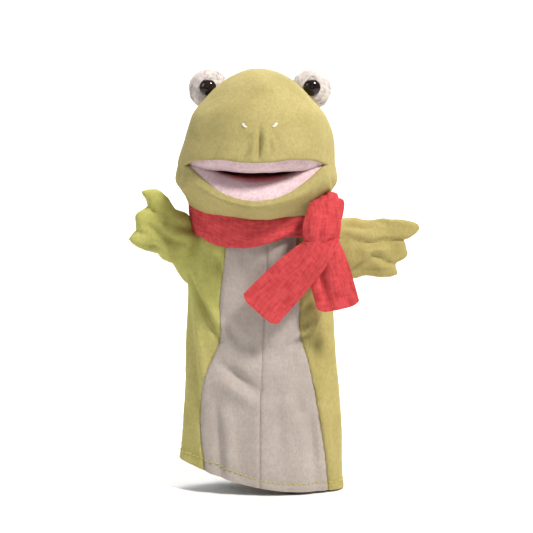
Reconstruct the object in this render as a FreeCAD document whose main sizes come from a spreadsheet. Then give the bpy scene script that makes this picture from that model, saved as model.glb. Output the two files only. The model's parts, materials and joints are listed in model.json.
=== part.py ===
import FreeCAD, Part
import math
import os
import re
from FreeCAD import Placement, Rotation, Vector

# A frog hand puppet: a hollow cloth sleeve with two finger arms, a stuffed head with a
# hinged jaw, plush eyes with plastic domes, and a knotted gauze scarf.
# Millimetres, +Z up. The puppet looks along -Y, so its left side is +X. The origin is the
# centre of the hand opening in the hem.

SIZES = {
    # cloth and thread
    "cloth": 1.3,
    "clearance": 0.4,
    "stitch_radius": 0.5,
    "stitch_length": 4.6,
    # sleeve: half widths and half depths of its four rings, from hem to neck
    "hem_tilt": 10.4,
    "hem_half_width": 58,
    "hem_half_depth": 30,
    "thigh_height": 62,
    "thigh_half_width": 53,
    "thigh_half_depth": 28.5,
    "chest_height": 138,
    "chest_half_width": 51,
    "chest_half_depth": 30,
    "collar_height": 163,
    "collar_half_width": 44,
    "collar_half_depth": 36.5,
    "hem_stitch_height": 5.5,
    # belly panel
    "belly_hem_half_width": 47,
    "belly_waist_half_width": 28,
    "belly_waist_height": 88,
    "belly_top_half_width": 24,
    # arms, measured from the shoulder pivot outwards
    "shoulder_reach": 56,
    "shoulder_height": 160,
    "armhole_half_height": 26,
    "armhole_half_depth": 17,
    "arm_start": 9,
    "elbow": 21,
    "elbow_gap": 1,
    "wrist": 36,
    "finger_reach": 13.5,
    "finger_radius": 6.9,
    "finger_pitch": 12.9,
    "finger_slant": 5.6,
    "arm_half_height": 21,
    "arm_half_depth": 14,
    "elbow_half_height": 20.5,
    "elbow_half_depth": 12,
    "wrist_half_height": 20,
    "wrist_half_depth": 5,
    "hand_half_depth": 3.5,
    "mitre_front": 24,
    "mitre_back": 10,
    "scarf_room": 61,
    "raised_arm": 28,
    "turned_arm": 40,
    # neck rings
    "gusset_half_width": 37,
    "gusset_half_depth": 33,
    "gusset_bottom": 165,
    "gusset_top": 169.5,
    "cuff_bottom": 171,
    "cuff_top": 176,
    # head
    "head_half_width": 56,
    "head_half_depth": 58,
    "head_half_height": 67,
    "head_forward": 13,
    "head_centre": 218,
    "head_bottom": 189,
    "crown_split": 4,
    # mouth: the hinge line, and the tilts of its surfaces about that line
    "hinge_forward": 8,
    "hinge_height": 214,
    "roof_rise": 5,
    "gape": 128,
    "jaw_opening": 24,
    "jaw_half_height": 24,
    "lining": 1.5,
    "board": 1.5,
    "fold_radius": 2.2,
    "fold_length": 84,
    # pockets for the hand
    "pocket_half_width": 31,
    "pocket_height": 21,
    "pocket_ahead": 44,
    "pocket_behind": 34,
    "thumb_half_width": 22,
    "thumb_height": 10.5,
    "thumb_ahead": 36,
    # eyes
    "eye_radius": 13,
    "eye_spread": 36.5,
    "eye_behind": 13,
    "eye_height": 272.6,
    "dome_radius": 6,
    "dome_rise": 3.2,
    "dome_rim": 1.2,
    "shank_radius": 2,
    "shank_length": 9,
    "washer_radius": 5,
    "washer_thickness": 1.2,
    "dome_seat": 12.4,
    # nostril stitches
    "nostril_spread": 10.3,
    "nostril_height": 246.3,
    "nostril_half_length": 3.6,
    "nostril_radius": 1.1,
    # scarf
    "scarf_half_width": 54,
    "scarf_half_depth": 45.5,
    "scarf_thickness": 6.3,
    "scarf_bottom": 160.5,
    "scarf_top": 171.5,
    "knot_left": 43,
    "knot_forward": 38,
    "knot_height": 166,
    "knot_half_width": 14,
    "knot_half_depth": 8.5,
    "knot_half_height": 7.5,
    "tail_top": 156.5,
    "tail_width": 31,
    "tail_thickness": 3.2,
    "tail_forward": 40.2,
    "tail_gap": 1.2,
    "long_tail_length": 75,
    "long_tail_slant": 39,
    "long_tail_left": -1,
    "long_tail_end": 117,
    "short_tail_length": 50,
    "short_tail_slant": -15,
    "short_tail_left": 54,
    "short_tail_end": 119,
    # tool blocks that split or trim other shapes
    "block": 400,
}

HEM_STITCHES = 40
LEFT, RIGHT = 1, -1
SIDES = ((LEFT, "left"), (RIGHT, "right"))
X_AXIS = Vector(1, 0, 0)
Y_AXIS = Vector(0, 1, 0)
Z_AXIS = Vector(0, 0, 1)

os.makedirs("parts", exist_ok=True)
doc = FreeCAD.newDocument("HandPuppet")
sheet = doc.addObject("Spreadsheet::Sheet", "Sizes")
for row, (alias, value) in enumerate(SIZES.items(), 1):
    sheet.set(f"A{row}", alias)
    sheet.set(f"B{row}", str(value))
    sheet.setAlias(f"B{row}", alias)
doc.recompute()

nodes = []


def formula(text):
    """The text with every alias of the sheet spelled the way an expression needs it."""
    return re.sub(r"[a-z_]{4,}", lambda word: sheet_cell(word.group()), str(text))


def sheet_cell(word):
    return f"Sizes.{word}" if word in SIZES else word


def bind(piece, **sizes):
    """Bind each property to a formula of sheet cells."""
    for prop, text in sizes.items():
        piece.setExpression(prop, formula(text))
    return piece


def place(piece, at=(0, 0, 0), axis=None, angle="0"):
    """Put the piece at three formulas, turned about one axis by a formula in degrees."""
    if axis is not None:
        piece.Placement = Placement(Vector(), Rotation(axis, 90))
        piece.setExpression("Placement.Rotation.Angle", formula(f"({angle}) * 1deg"))
    for letter, text in zip("xyz", at):
        piece.setExpression(f"Placement.Base.{letter}", formula(text))
    return piece


def add(kind, name, at=(0, 0, 0), axis=None, angle="0", **sizes):
    piece = doc.addObject(kind, name)
    return place(bind(piece, **sizes), at, axis, angle)


def cut(name, base, *tools):
    for count, tool in enumerate(tools, 1):
        piece = doc.addObject("Part::Cut", name if count == len(tools) else f"{name}_trim{count}")
        piece.Base = base
        piece.Tool = tool
        base = piece
    return base


def common(name, base, tool):
    piece = doc.addObject("Part::Common", name)
    piece.Base = base
    piece.Tool = tool
    return piece


def fuse(name, base, tool):
    piece = doc.addObject("Part::Fuse", name)
    piece.Base = base
    piece.Tool = tool
    return piece


def node(piece, label):
    """Name a finished piece of the puppet; it is written to parts/LABEL.step."""
    piece.Label = label
    nodes.append(piece)
    return piece


def ellipse(name, half_x, half_y, at=(0, 0, 0), axis=None, angle="0"):
    """An ellipse lying flat. MajorRadius must stay the larger one, so it lies along X."""
    return add("Part::Ellipse", name, at, axis, angle, MajorRadius=half_x, MinorRadius=half_y)


def loft(name, *sections):
    piece = doc.addObject("Part::Loft", name)
    piece.Sections = list(sections)
    piece.Solid = True
    piece.Ruled = False
    return piece


def extrude(name, base, direction, forward, backward="0"):
    piece = doc.addObject("Part::Extrusion", name)
    piece.Base = base
    piece.DirMode = "Custom"
    piece.Dir = direction
    piece.Solid = True
    return bind(piece, LengthFwd=forward, LengthRev=backward)


def half_space(name, axis_letter, side):
    """A block that fills everything on one side of a plane through the origin."""
    at = ["-block / 2"] * 3
    index = "xyz".index(axis_letter)
    at[index] = "0" if side > 0 else "-block"
    return add("Part::Box", name, at, Length="block", Width="block", Height="block")


# ---------------------------------------------------------------- sleeve


def sleeve_form(name, inset):
    """The sleeve as a lofted solid, smaller by the inset all round."""
    hem = ellipse(
        f"{name}_hem", f"(hem_half_width - {inset}) / cos(hem_tilt * 1deg)",
        f"hem_half_depth - {inset}", axis=Y_AXIS, angle="hem_tilt",
    )
    rings = [hem]
    for ring in ("thigh", "chest", "collar"):
        rings.append(ellipse(
            f"{name}_{ring}", f"{ring}_half_width - {inset}", f"{ring}_half_depth - {inset}",
            at=("0", "0", f"{ring}_height"),
        ))
    return loft(name, *rings)


def belly_form():
    """The outline of the belly panel, narrow at the waist and wide at the hem."""
    lower = add(
        "Part::Wedge", "belly_lower", ("0", "0", "-block / 10"), X_AXIS, "90",
        Xmin="-belly_hem_half_width", Xmax="belly_hem_half_width",
        X2min="-belly_waist_half_width", X2max="belly_waist_half_width",
        Ymin="0", Ymax="belly_waist_height + block / 10",
        Zmin="0", Zmax="block / 4", Z2min="0", Z2max="block / 4",
    )
    upper = add(
        "Part::Wedge", "belly_upper", ("0", "0", "belly_waist_height"), X_AXIS, "90",
        Xmin="-belly_waist_half_width", Xmax="belly_waist_half_width",
        X2min="-belly_top_half_width", X2max="belly_top_half_width",
        Ymin="0", Ymax="collar_height - belly_waist_height + 1",
        Zmin="0", Zmax="block / 4", Z2min="0", Z2max="block / 4",
    )
    return fuse("belly_outline", lower, upper)


def make_sleeve():
    outer = sleeve_form("sleeve_outer", "0")
    inner = sleeve_form("sleeve_inner", "cloth")
    # an upright ellipse: its major axis is turned from X to Z before the hole runs along X
    hole_outline = add(
        "Part::Ellipse", "armhole_outline", ("0", "0", "shoulder_height"), Y_AXIS, "90",
        MajorRadius="armhole_half_height", MinorRadius="armhole_half_depth",
    )
    armholes = extrude("armholes", hole_outline, X_AXIS, "block / 4", "block / 4")
    shell = cut("sleeve_shell", outer, inner, armholes)
    front = cut("sleeve_front", shell, half_space("behind", "y", 1))
    node(cut("back_panel_form", shell, half_space("before", "y", -1)), "back_panel")
    outline = belly_form()
    belly = common("belly_panel", front, outline)
    flanks = cut("flanks", front, outline)
    for side, word in SIDES:
        other_side = half_space(f"beyond_{word}", "x", -side)
        node(cut(f"belly_half_{word}", belly, other_side), f"belly_panel_{word}")
        node(cut(f"flank_{word}", flanks, other_side), f"side_panel_{word}")
    make_hem_stitching(outer)


def make_hem_stitching(sleeve):
    """Short running stitches round the hem, level with its slant."""
    stitches = []
    for count in range(HEM_STITCHES):
        angle = 360 * count / HEM_STITCHES
        x = f"(hem_half_width + stitch_radius / 2 - cloth / 3) * cos({angle} * 1deg)"
        y = f"(hem_half_depth + stitch_radius / 2 - cloth / 3) * sin({angle} * 1deg)"
        z = f"hem_stitch_height - ({x}) * tan(hem_tilt * 1deg)"
        slope = math.degrees(math.atan2(
            SIZES["hem_half_depth"] * math.cos(math.radians(angle)),
            -SIZES["hem_half_width"] * math.sin(math.radians(angle)),
        ))
        stitch = add("Part::Cylinder", f"stitch_{count}", Radius="stitch_radius", Height="stitch_length")
        stitch.Placement = Placement(Vector(), Rotation(Z_AXIS, slope) * Rotation(Y_AXIS, 90))
        along = stitch.Placement.Rotation.multVec(Z_AXIS)
        place(stitch, (
            f"{x} - stitch_length / 2 * {along.x:.4f}",
            f"{y} - stitch_length / 2 * {along.y:.4f}",
            z,
        ))
        stitches.append(stitch)
    row = doc.addObject("Part::Compound", "stitch_row")
    row.Links = stitches
    node(cut("hem_stitches", row, sleeve), "hem_stitching")


# ---------------------------------------------------------------- arms


def arm_tube(name, inset, *rings):
    """A flattened cloth tube along X through the given rings: (formula along the arm, ring)."""
    sections = []
    for count, (along, ring) in enumerate(rings):
        sections.append(add(
            "Part::Ellipse", f"{name}_{count}", (along, "0", "0"), Y_AXIS, "90",
            MajorRadius=f"{ring}_half_height - {inset}", MinorRadius=f"{ring}_half_depth - {inset}",
        ))
    return loft(name, *sections)


def make_arm(side, word):
    """One arm, modelled along +X from the shoulder and then turned into place."""
    inner_end = ("elbow - elbow_gap", "elbow")
    outer_end = ("elbow + elbow_gap", "elbow")
    upper = cut(
        f"upper_tube_{word}",
        arm_tube(f"upper_outer_{word}", "0", ("arm_start", "arm"), inner_end),
        arm_tube(f"upper_inner_{word}", "cloth", ("arm_start", "arm"), inner_end),
    )
    fore = cut(
        f"fore_tube_{word}",
        arm_tube(f"fore_outer_{word}", "0", outer_end, ("wrist", "wrist")),
        arm_tube(f"fore_inner_{word}", "cloth", outer_end, ("wrist", "wrist")),
    )
    pieces = [(make_hand(word), "hand")]
    for half in ("front", "back"):
        # in the arm's own frame the front lies at -Y on the left and at +Y on the right
        facing = -side if half == "front" else side
        hidden = half_space(f"{half}_hidden_{word}", "y", -facing)
        # the cloth stops short of the elbow axis along a mitre, so the forearm can swing
        upper_trim, fore_trim = (
            add(
                "Part::Box", f"{end}_mitre_{half}_{word}", (at, "0", "-block / 2"), Z_AXIS, angle,
                Length="block", Width="block", Height="block",
            )
            for end, at, angle in (
                ("upper", inner_end[0], f"mitre_{half}" if facing > 0 else f"-90 - mitre_{half}"),
                ("fore", outer_end[0],
                 f"90 - mitre_{half}" if facing > 0 else f"180 + mitre_{half}"),
            )
        )
        pieces.append((cut(f"upper_{half}_{word}", upper, hidden, upper_trim),
                       f"upper_arm_{half}"))
        pieces.append((cut(f"fore_{half}_{word}", fore, hidden, fore_trim), f"forearm_{half}"))
    turn = Rotation()
    if side == RIGHT:
        turn = Rotation(Y_AXIS, SIZES["raised_arm"]) * Rotation(Z_AXIS, 180 + SIZES["turned_arm"])
    under_scarf = add(
        "Part::Box", f"under_scarf_{word}", ("-scarf_room", "-block / 2", "0"),
        Length="2 * scarf_room", Width="block", Height="block",
    )
    for piece, label in pieces:
        piece.Placement = Placement(Vector(), turn)
        place(piece, (f"{side} * shoulder_reach", "0", "shoulder_height"))
        if label.startswith("upper_arm"):
            piece = cut(f"{piece.Name}_trimmed", piece, under_scarf)
        node(piece, f"{label}_{word}")


def make_hand(word):
    """The flat end of the arm: three short round fingers, the upper one the longest."""
    hand = None
    for count in (-1, 0, 1):
        finger = add(
            "Part::Cylinder", f"finger_{count + 1}_{word}",
            (f"wrist + finger_reach - finger_radius + {count} * finger_slant",
             "-hand_half_depth", f"{count} * finger_pitch"),
            X_AXIS, "-90",
            Radius="finger_radius", Height="2 * hand_half_depth",
        )
        palm = add(
            "Part::Box", f"palm_{count + 1}_{word}",
            ("wrist", "-hand_half_depth", f"{count} * finger_pitch - finger_radius"),
            Length=f"finger_reach - finger_radius + {count} * finger_slant",
            Width="2 * hand_half_depth", Height="2 * finger_radius",
        )
        digit = fuse(f"digit_{count + 1}_{word}", finger, palm)
        hand = digit if hand is None else fuse(f"hand_{count + 1}_{word}", hand, digit)
    behind_wrist = add(
        "Part::Box", f"before_wrist_{word}", ("wrist - block", "-block / 2", "-block / 2"),
        Length="block", Width="block", Height="block",
    )
    return cut(f"hand_form_{word}", hand, behind_wrist)


# ---------------------------------------------------------------- neck


def neck_ring(label, bottom, top, inset):
    """A flat band of cloth round the neck opening."""
    rims = []
    for name, extra in ((f"{label}_outer", "0"), (f"{label}_inner", "cloth")):
        rim = ellipse(
            f"{name}_rim", f"gusset_half_width - {inset} - {extra}",
            f"gusset_half_depth - {inset} - {extra}", at=("0", "0", bottom),
        )
        rims.append(extrude(name, rim, Z_AXIS, f"{top} - {bottom}"))
    node(cut(f"{label}_band", *rims), label)


# ---------------------------------------------------------------- mouth hinge


def hinged_block(name, tilt, ahead, below, length, depth, half_width="block / 4"):
    """A block laid out from the mouth hinge: it starts `ahead` of the hinge and `below` it,
    and runs `length` forward and `depth` down in a frame tipped `tilt` degrees down."""
    forward = f"({ahead}) * cos(({tilt}) * 1deg) - ({below}) * sin(({tilt}) * 1deg)"
    down = f"({ahead}) * sin(({tilt}) * 1deg) + ({below}) * cos(({tilt}) * 1deg)"
    return add(
        "Part::Box", name,
        (f"-({half_width})", f"-hinge_forward - ({forward})", f"hinge_height - ({down})"),
        X_AXIS, f"180 + {tilt}",
        Length=f"2 * ({half_width})", Width=length, Height=depth,
    )


def hinge_roll(name, radius):
    return add(
        "Part::Cylinder", name,
        ("-fold_length / 2", "-hinge_forward", "hinge_height"), Y_AXIS, "90",
        Radius=radius, Height="fold_length",
    )


# ---------------------------------------------------------------- head


def head_form(name, inset):
    return add(
        "Part::Ellipsoid", name, ("0", "-head_forward", "head_centre"),
        Radius1=f"head_half_height - {inset}", Radius2=f"head_half_width - {inset}",
        Radius3=f"head_half_depth - {inset}",
    )


def pocket_form(name, inset, below_neck):
    """The room for the hand: a shaft up the back of the head and a flat tunnel above the
    roof of the mouth."""
    tunnel = hinged_block(
        f"{name}_tunnel", "-roof_rise", "-pocket_behind + " + inset,
        f"-(lining + board + pocket_height) + {inset}",
        f"pocket_ahead + pocket_behind - 2 * {inset}", f"pocket_height - 2 * {inset}",
        f"pocket_half_width - {inset}",
    )
    shaft = add(
        "Part::Box", f"{name}_shaft",
        (f"-pocket_half_width + {inset}", "-hinge_forward + fold_radius + clearance",
         f"head_bottom - {below_neck}"),
        Length=f"2 * (pocket_half_width - {inset})",
        Width=f"pocket_behind - fold_radius - clearance - {inset}",
        Height=f"hinge_height - head_bottom + lining + board + 1 + {below_neck}",
    )
    return fuse(name, tunnel, shaft)


def make_head(domes):
    """The stuffed head; its skin and filling give way round the plastic eyes."""
    outer = head_form("head_outer", "0")
    core = head_form("head_core", "cloth")
    under_head = add(
        "Part::Box", "under_head", ("-block / 2", "-block / 2", "head_bottom - block"),
        Length="block", Width="block", Height="block",
    )
    mouth = fuse(
        "mouth_space",
        hinged_block("mouth_front", "-roof_rise", "0", "0", "block", "block"),
        hinged_block("mouth_rear", "gape - 90 - roof_rise", "0", "0", "block", "block"),
    )
    roof = {}
    for layer, below, thickness in (
        ("lining", "-lining", "lining"),
        ("board", "-(lining + board)", "board"),
    ):
        roof[layer] = hinged_block(f"roof_{layer}_block", "-roof_rise", "0", below, "block / 4",
                                   thickness)
    roll = hinge_roll("fold_roll", "fold_radius")
    outside_trims = (mouth, under_head, roof["lining"], *domes)
    skin = cut("head_skin", outer, core, *outside_trims)
    split = add(
        "Part::Box", "crown_front", ("-block / 2", "crown_split - block", "-block / 4"),
        Length="block", Width="block", Height="block * 2",
    )
    node(common("head_crown_form", skin, split), "head_skin_crown")
    node(cut("head_back_form", skin, split), "head_skin_back")
    pocket = pocket_form("pocket_outer", "0", "0")
    hollow = pocket_form("pocket_inner", "cloth", "5")
    node(cut("head_stuffing", core, mouth, under_head, roof["lining"], roof["board"], roll,
             pocket, *domes), "head_filling")
    node(cut("pocket_shell", pocket, hollow, mouth, under_head, roll), "finger_pocket")
    node(cut("roof_lining", common("roof_lining_sheet", outer, roof["lining"]), roll),
         "mouth_roof_lining")
    node(cut("roof_board", common("roof_board_sheet", core, roof["board"]), roll),
         "mouth_roof_board")
    node(roll, "mouth_fold")
    return outer


# ---------------------------------------------------------------- jaw


def jaw_form(name, inset):
    """The lower lip and chin: an ellipsoid about the hinge, tipped with the open jaw."""
    return add(
        "Part::Ellipsoid", name, ("0", "-hinge_forward", "hinge_height"), X_AXIS,
        "jaw_opening - roof_rise",
        Radius1=f"jaw_half_height - {inset}", Radius2=f"head_half_width - {inset}",
        Radius3=f"head_half_depth - {inset}",
    )


def make_jaw():
    tilt = "jaw_opening - roof_rise"
    ahead = "fold_radius + clearance"
    outer = jaw_form("jaw_outer", "0")
    core = jaw_form("jaw_core", "cloth")
    shell = cut("jaw_shell", outer, core)
    floor = "clearance + lining + board"
    chin_block = hinged_block("chin_block", tilt, ahead, "clearance + lining", "block / 4",
                              "block / 4")
    core_block = hinged_block("chin_core_block", tilt, ahead, floor, "block / 4", "block / 4")
    node(common("chin_skin", shell, chin_block), "jaw_skin")
    pocket = hinged_block("thumb_outer", tilt, ahead, floor, f"thumb_ahead - {ahead}",
                          "thumb_height", "thumb_half_width")
    hollow = hinged_block("thumb_inner", tilt, f"{ahead} - cloth", f"{floor} + cloth",
                          f"thumb_ahead - {ahead}", "thumb_height - 2 * cloth",
                          "thumb_half_width - cloth")
    node(cut("chin_stuffing", common("chin_core", core, core_block), pocket), "jaw_filling")
    node(cut("thumb_sleeve", pocket, hollow), "thumb_pocket")
    lining = hinged_block("floor_lining_block", tilt, ahead, "clearance", "block / 4", "lining")
    board = hinged_block("floor_board_block", tilt, ahead, "clearance + lining", "block / 4",
                         "board")
    node(common("floor_lining", outer, lining), "mouth_floor_lining")
    node(common("floor_board", core, board), "mouth_floor_board")


# ---------------------------------------------------------------- eyes and nostrils


def safety_eye(side, word):
    """A domed plastic eye with its shank, turned about the shank's axis."""
    body = doc.addObject("PartDesign::Body", f"dome_{word}")
    sketch = body.newObject("Sketcher::SketchObject", f"dome_profile_{word}")
    plane = next(o for o in body.Origin.OriginFeatures if o.Role == "XY_Plane")
    sketch.AttachmentSupport = [(plane, "")]
    sketch.MapMode = "FlatFace"
    radius = SIZES["dome_radius"]
    rise = SIZES["dome_rise"]
    rim = SIZES["dome_rim"]
    shank = SIZES["shank_radius"]
    depth = SIZES["shank_length"]
    middle = math.radians(50)
    arc = Part.Arc(
        Vector(0, rise, 0),
        Vector(radius * math.sin(middle), rise * math.cos(middle), 0),
        Vector(radius, 0, 0),
    )
    corners = [
        Vector(radius, 0, 0), Vector(radius, -rim, 0), Vector(shank, -rim, 0),
        Vector(shank, -depth, 0), Vector(0, -depth, 0), Vector(0, rise, 0),
    ]
    sketch.addGeometry(arc, False)
    for begin, finish in zip(corners, corners[1:]):
        sketch.addGeometry(Part.LineSegment(begin, finish), False)
    turned = body.newObject("PartDesign::Revolution", f"dome_turned_{word}")
    turned.Profile = sketch
    turned.ReferenceAxis = (sketch, ["V_Axis"])
    turned.Angle = 360
    return place(body, (f"{side} * eye_spread", "eye_behind - dome_seat", "eye_height"),
                 Z_AXIS, "180")


def make_eye(side, word, head, dome):
    centre = (f"{side} * eye_spread", "eye_behind", "eye_height")
    ball = add("Part::Sphere", f"eye_ball_{word}", centre, Radius="eye_radius")
    core = add("Part::Sphere", f"eye_core_{word}", centre, Radius="eye_radius - cloth")
    disc = add(
        "Part::Cylinder", f"washer_disc_{word}",
        (centre[0], "eye_behind - dome_seat + shank_length - 2", centre[2]), X_AXIS, "90",
        Radius="washer_radius", Height="washer_thickness",
    )
    node(cut(f"eye_plush_{word}", ball, core, head, dome), f"eye_cover_{word}")
    node(cut(f"eye_stuffing_{word}", core, head, dome, disc), f"eye_filling_{word}")
    node(cut(f"washer_form_{word}", disc, dome), f"eye_washer_{word}")
    node(dome, f"eye_dome_{word}")
    stitch = add(
        "Part::Ellipsoid", f"nostril_thread_{word}",
        (f"{side} * nostril_spread", "-head_forward - 0.886 * head_half_depth",
         "nostril_height"), Y_AXIS, f"{-side} * 25",
        Radius1="nostril_radius", Radius2="nostril_half_length", Radius3="nostril_radius",
    )
    node(cut(f"nostril_form_{word}", stitch, head), f"nostril_stitch_{word}")


# ---------------------------------------------------------------- scarf


def tail_strip(name, tail, extra):
    """A flat strip of the scarf; `extra` widens it on both sides."""
    reach = f"(tail_width / 2 + {extra})"
    return add(
        "Part::Box", name,
        (f"{tail}_left - {reach} * cos({tail}_slant * 1deg)", "-tail_forward",
         f"{tail}_end + {reach} * sin({tail}_slant * 1deg)"),
        Y_AXIS, f"{tail}_slant",
        Length=f"2 * {reach}", Width="tail_thickness", Height=f"{tail}_length",
    )


def make_tail(name, label, *trims):
    """An end of the scarf, cut level under the knot, where it hangs from it."""
    strip = tail_strip(f"{name}_strip", name, "0")
    above = add(
        "Part::Box", f"above_{name}", ("-block / 2", "-block / 2", "tail_top"),
        Length="block", Width="block", Height="block",
    )
    node(cut(f"{name}_form", strip, above, *trims), label)


def make_scarf():
    rims = []
    for name, extra in (("wrap_outer", "0"), ("wrap_inner", "scarf_thickness")):
        rim = ellipse(
            f"{name}_rim", f"scarf_half_width - {extra}", f"scarf_half_depth - {extra}",
            at=("0", "0", "scarf_bottom"),
        )
        rims.append(extrude(name, rim, Z_AXIS, "scarf_top - scarf_bottom"))
    node(cut("scarf_ring", *rims), "scarf_wrap")
    ball = add(
        "Part::Ellipsoid", "knot_ball", ("knot_left", "-knot_forward", "knot_height"),
        Radius1="knot_half_height", Radius2="knot_half_width", Radius3="knot_half_depth",
    )
    node(cut("knot_form", ball, rims[0]), "scarf_knot")
    make_tail("long_tail", "scarf_tail_long")
    # both ends hang from one line, so the short one is left out where the long one crosses it
    make_tail("short_tail", "scarf_tail_short",
              tail_strip("long_tail_room", "long_tail", "tail_gap"))


make_sleeve()
for arm_side, arm_word in SIDES:
    make_arm(arm_side, arm_word)
neck_ring("neck_gusset", "gusset_bottom", "gusset_top", "0")
neck_ring("neck_cuff", "cuff_bottom", "cuff_top", "1")
eyes = [safety_eye(eye_side, eye_word) for eye_side, eye_word in SIDES]
head_outside = make_head(eyes)
make_jaw()
for (eye_side, eye_word), eye in zip(SIDES, eyes):
    make_eye(eye_side, eye_word, head_outside, eye)
make_scarf()
doc.recompute()

failed = [piece.Name for piece in doc.Objects if {"Invalid", "Error"} & set(piece.State)]
if failed:
    raise RuntimeError(f"these objects failed: {failed}")
for piece in nodes:
    shape = piece.Shape
    if shape.isNull() or not shape.isValid() or shape.Volume <= 0:
        raise RuntimeError(f"{piece.Label} has no valid solid")
for piece in nodes:
    piece.Shape.exportStep(f"parts/{piece.Label}.step")
    box = piece.Shape.optimalBoundingBox(False)
    print(
        f"{piece.Label:22s} {len(piece.Shape.Solids)} solid(s) {piece.Shape.Volume:10.1f} mm3  "
        f"x {box.XMin:.1f}..{box.XMax:.1f}  y {box.YMin:.1f}..{box.YMax:.1f}  "
        f"z {box.ZMin:.1f}..{box.ZMax:.1f}"
    )
print(f"{len(nodes)} nodes")
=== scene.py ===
"""A frog hand puppet: its cloth, plush, scarf and stitches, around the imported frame."""

import json
import math

import bmesh
import bpy
import numpy as np
from mathutils import Matrix, Vector
from mathutils.bvhtree import BVHTree


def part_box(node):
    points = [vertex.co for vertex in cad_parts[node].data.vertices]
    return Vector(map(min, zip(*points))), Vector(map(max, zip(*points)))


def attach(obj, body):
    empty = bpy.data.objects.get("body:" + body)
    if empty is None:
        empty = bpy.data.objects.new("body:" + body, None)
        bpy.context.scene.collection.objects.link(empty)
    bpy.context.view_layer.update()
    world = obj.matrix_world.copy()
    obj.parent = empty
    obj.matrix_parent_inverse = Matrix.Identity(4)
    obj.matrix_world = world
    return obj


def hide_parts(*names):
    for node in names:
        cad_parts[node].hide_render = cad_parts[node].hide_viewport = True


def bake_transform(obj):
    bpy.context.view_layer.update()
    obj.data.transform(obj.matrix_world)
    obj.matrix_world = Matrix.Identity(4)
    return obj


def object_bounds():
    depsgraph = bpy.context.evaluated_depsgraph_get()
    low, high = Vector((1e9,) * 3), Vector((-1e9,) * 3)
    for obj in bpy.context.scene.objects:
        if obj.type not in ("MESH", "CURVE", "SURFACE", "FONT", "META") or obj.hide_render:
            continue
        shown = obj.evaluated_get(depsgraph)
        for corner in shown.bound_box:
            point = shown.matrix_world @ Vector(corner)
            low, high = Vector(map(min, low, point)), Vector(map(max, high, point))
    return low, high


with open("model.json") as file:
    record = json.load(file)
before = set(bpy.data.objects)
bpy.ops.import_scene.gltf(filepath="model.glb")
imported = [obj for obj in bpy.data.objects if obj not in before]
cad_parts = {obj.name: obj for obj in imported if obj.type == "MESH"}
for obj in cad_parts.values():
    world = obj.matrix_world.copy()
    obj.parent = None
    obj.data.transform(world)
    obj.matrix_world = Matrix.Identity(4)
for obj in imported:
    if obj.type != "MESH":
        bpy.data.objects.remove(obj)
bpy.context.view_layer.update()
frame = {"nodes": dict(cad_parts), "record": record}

MM = 0.001
SIDES = ((1, "left"), (-1, "right"))


# ---------------------------------------------------------------- numbers and fields


def srgb(red, green, blue):
    """A display colour from 0 to 255 as the linear colour that shaders take."""
    return tuple(((c / 255 + 0.055) / 1.055) ** 2.4 for c in (red, green, blue)) + (1.0,)


def smooth(x, low, high):
    t = np.clip((x - low) / (high - low), 0, 1)
    return t * t * (3 - 2 * t)


def through(x, table):
    """A smooth curve through the (x, y) pairs of a table."""
    xs, ys = np.array(table, float).T
    slopes = np.gradient(ys, xs)
    x = np.clip(x, xs[0], xs[-1])
    i = np.clip(np.searchsorted(xs, x, side="right") - 1, 0, len(xs) - 2)
    step = xs[i + 1] - xs[i]
    t = (x - xs[i]) / step
    return (
        (2 * t**3 - 3 * t**2 + 1) * ys[i]
        + (t**3 - 2 * t**2 + t) * step * slopes[i]
        + (3 * t**2 - 2 * t**3) * ys[i + 1]
        + (t**3 - t**2) * step * slopes[i + 1]
    )


def noise(points, size, seed):
    """Smooth noise from -1 to 1 whose bumps are about `size` millimetres across."""
    p = np.asarray(points, float) / np.asarray(size, float) + seed * 17.31
    cell = np.floor(p).astype(np.int64)
    t = p - cell
    t = t * t * (3 - 2 * t)
    total = np.zeros(p.shape[:-1])
    for corner in np.ndindex(2, 2, 2):
        c = (cell + corner) & 0xFFFF
        mixed = (c[..., 0] * 7385 + c[..., 1] * 19349 + c[..., 2] * 83492 + seed * 2654) & 0xFFFFFF
        mixed = ((mixed ^ (mixed >> 9)) * 40503) & 0xFFFFFF
        mixed = ((mixed ^ (mixed >> 11)) * 30011) & 0xFFFFFF
        value = (mixed >> 8) / 32767.5 - 1
        total += value * np.prod(np.where(np.array(corner), t, 1 - t), axis=-1)
    return total


def stroke(x, z, line, width):
    """1 on the line (x0, z0, x1, z1), and fading away over `width` beside it and past its ends."""
    x0, z0, x1, z1 = line
    along = np.array([x1 - x0, z1 - z0], float)
    t = np.clip(((x - x0) * along[0] + (z - z0) * along[1]) / (along @ along), 0, 1)
    away = np.hypot(x - x0 - t * along[0], z - z0 - t * along[1])
    taper = 0.35 + 0.65 * np.sin(np.pi * np.clip(t, 0.02, 0.98))
    return np.exp(-((away / width) ** 2)) * taper


def fold_height(x, z, folds):
    """The sum of the strokes (x0, z0, x1, z1, width, height) at x and z."""
    return sum(height * stroke(x, z, (x0, z0, x1, z1), width)
               for x0, z0, x1, z1, width, height in folds)


# ---------------------------------------------------------------- meshes


def linked(name, data):
    """An object of the scene that holds a mesh, a lamp or a camera."""
    obj = bpy.data.objects.new(name, data)
    bpy.context.scene.collection.objects.link(obj)
    return obj


def smooth_object(name, mesh):
    mesh.polygons.foreach_set("use_smooth", [True] * len(mesh.polygons))
    return linked(name, mesh)


def discard(obj):
    mesh = obj.data
    bpy.data.objects.remove(obj)
    bpy.data.meshes.remove(mesh)


def new_object(name, verts, faces):
    """A smooth-shaded mesh object; verts are in millimetres."""
    mesh = bpy.data.meshes.new(name)
    mesh.from_pydata((np.asarray(verts, float) * MM).tolist(), [], faces)
    mesh.update()
    return smooth_object(name, mesh)


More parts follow.
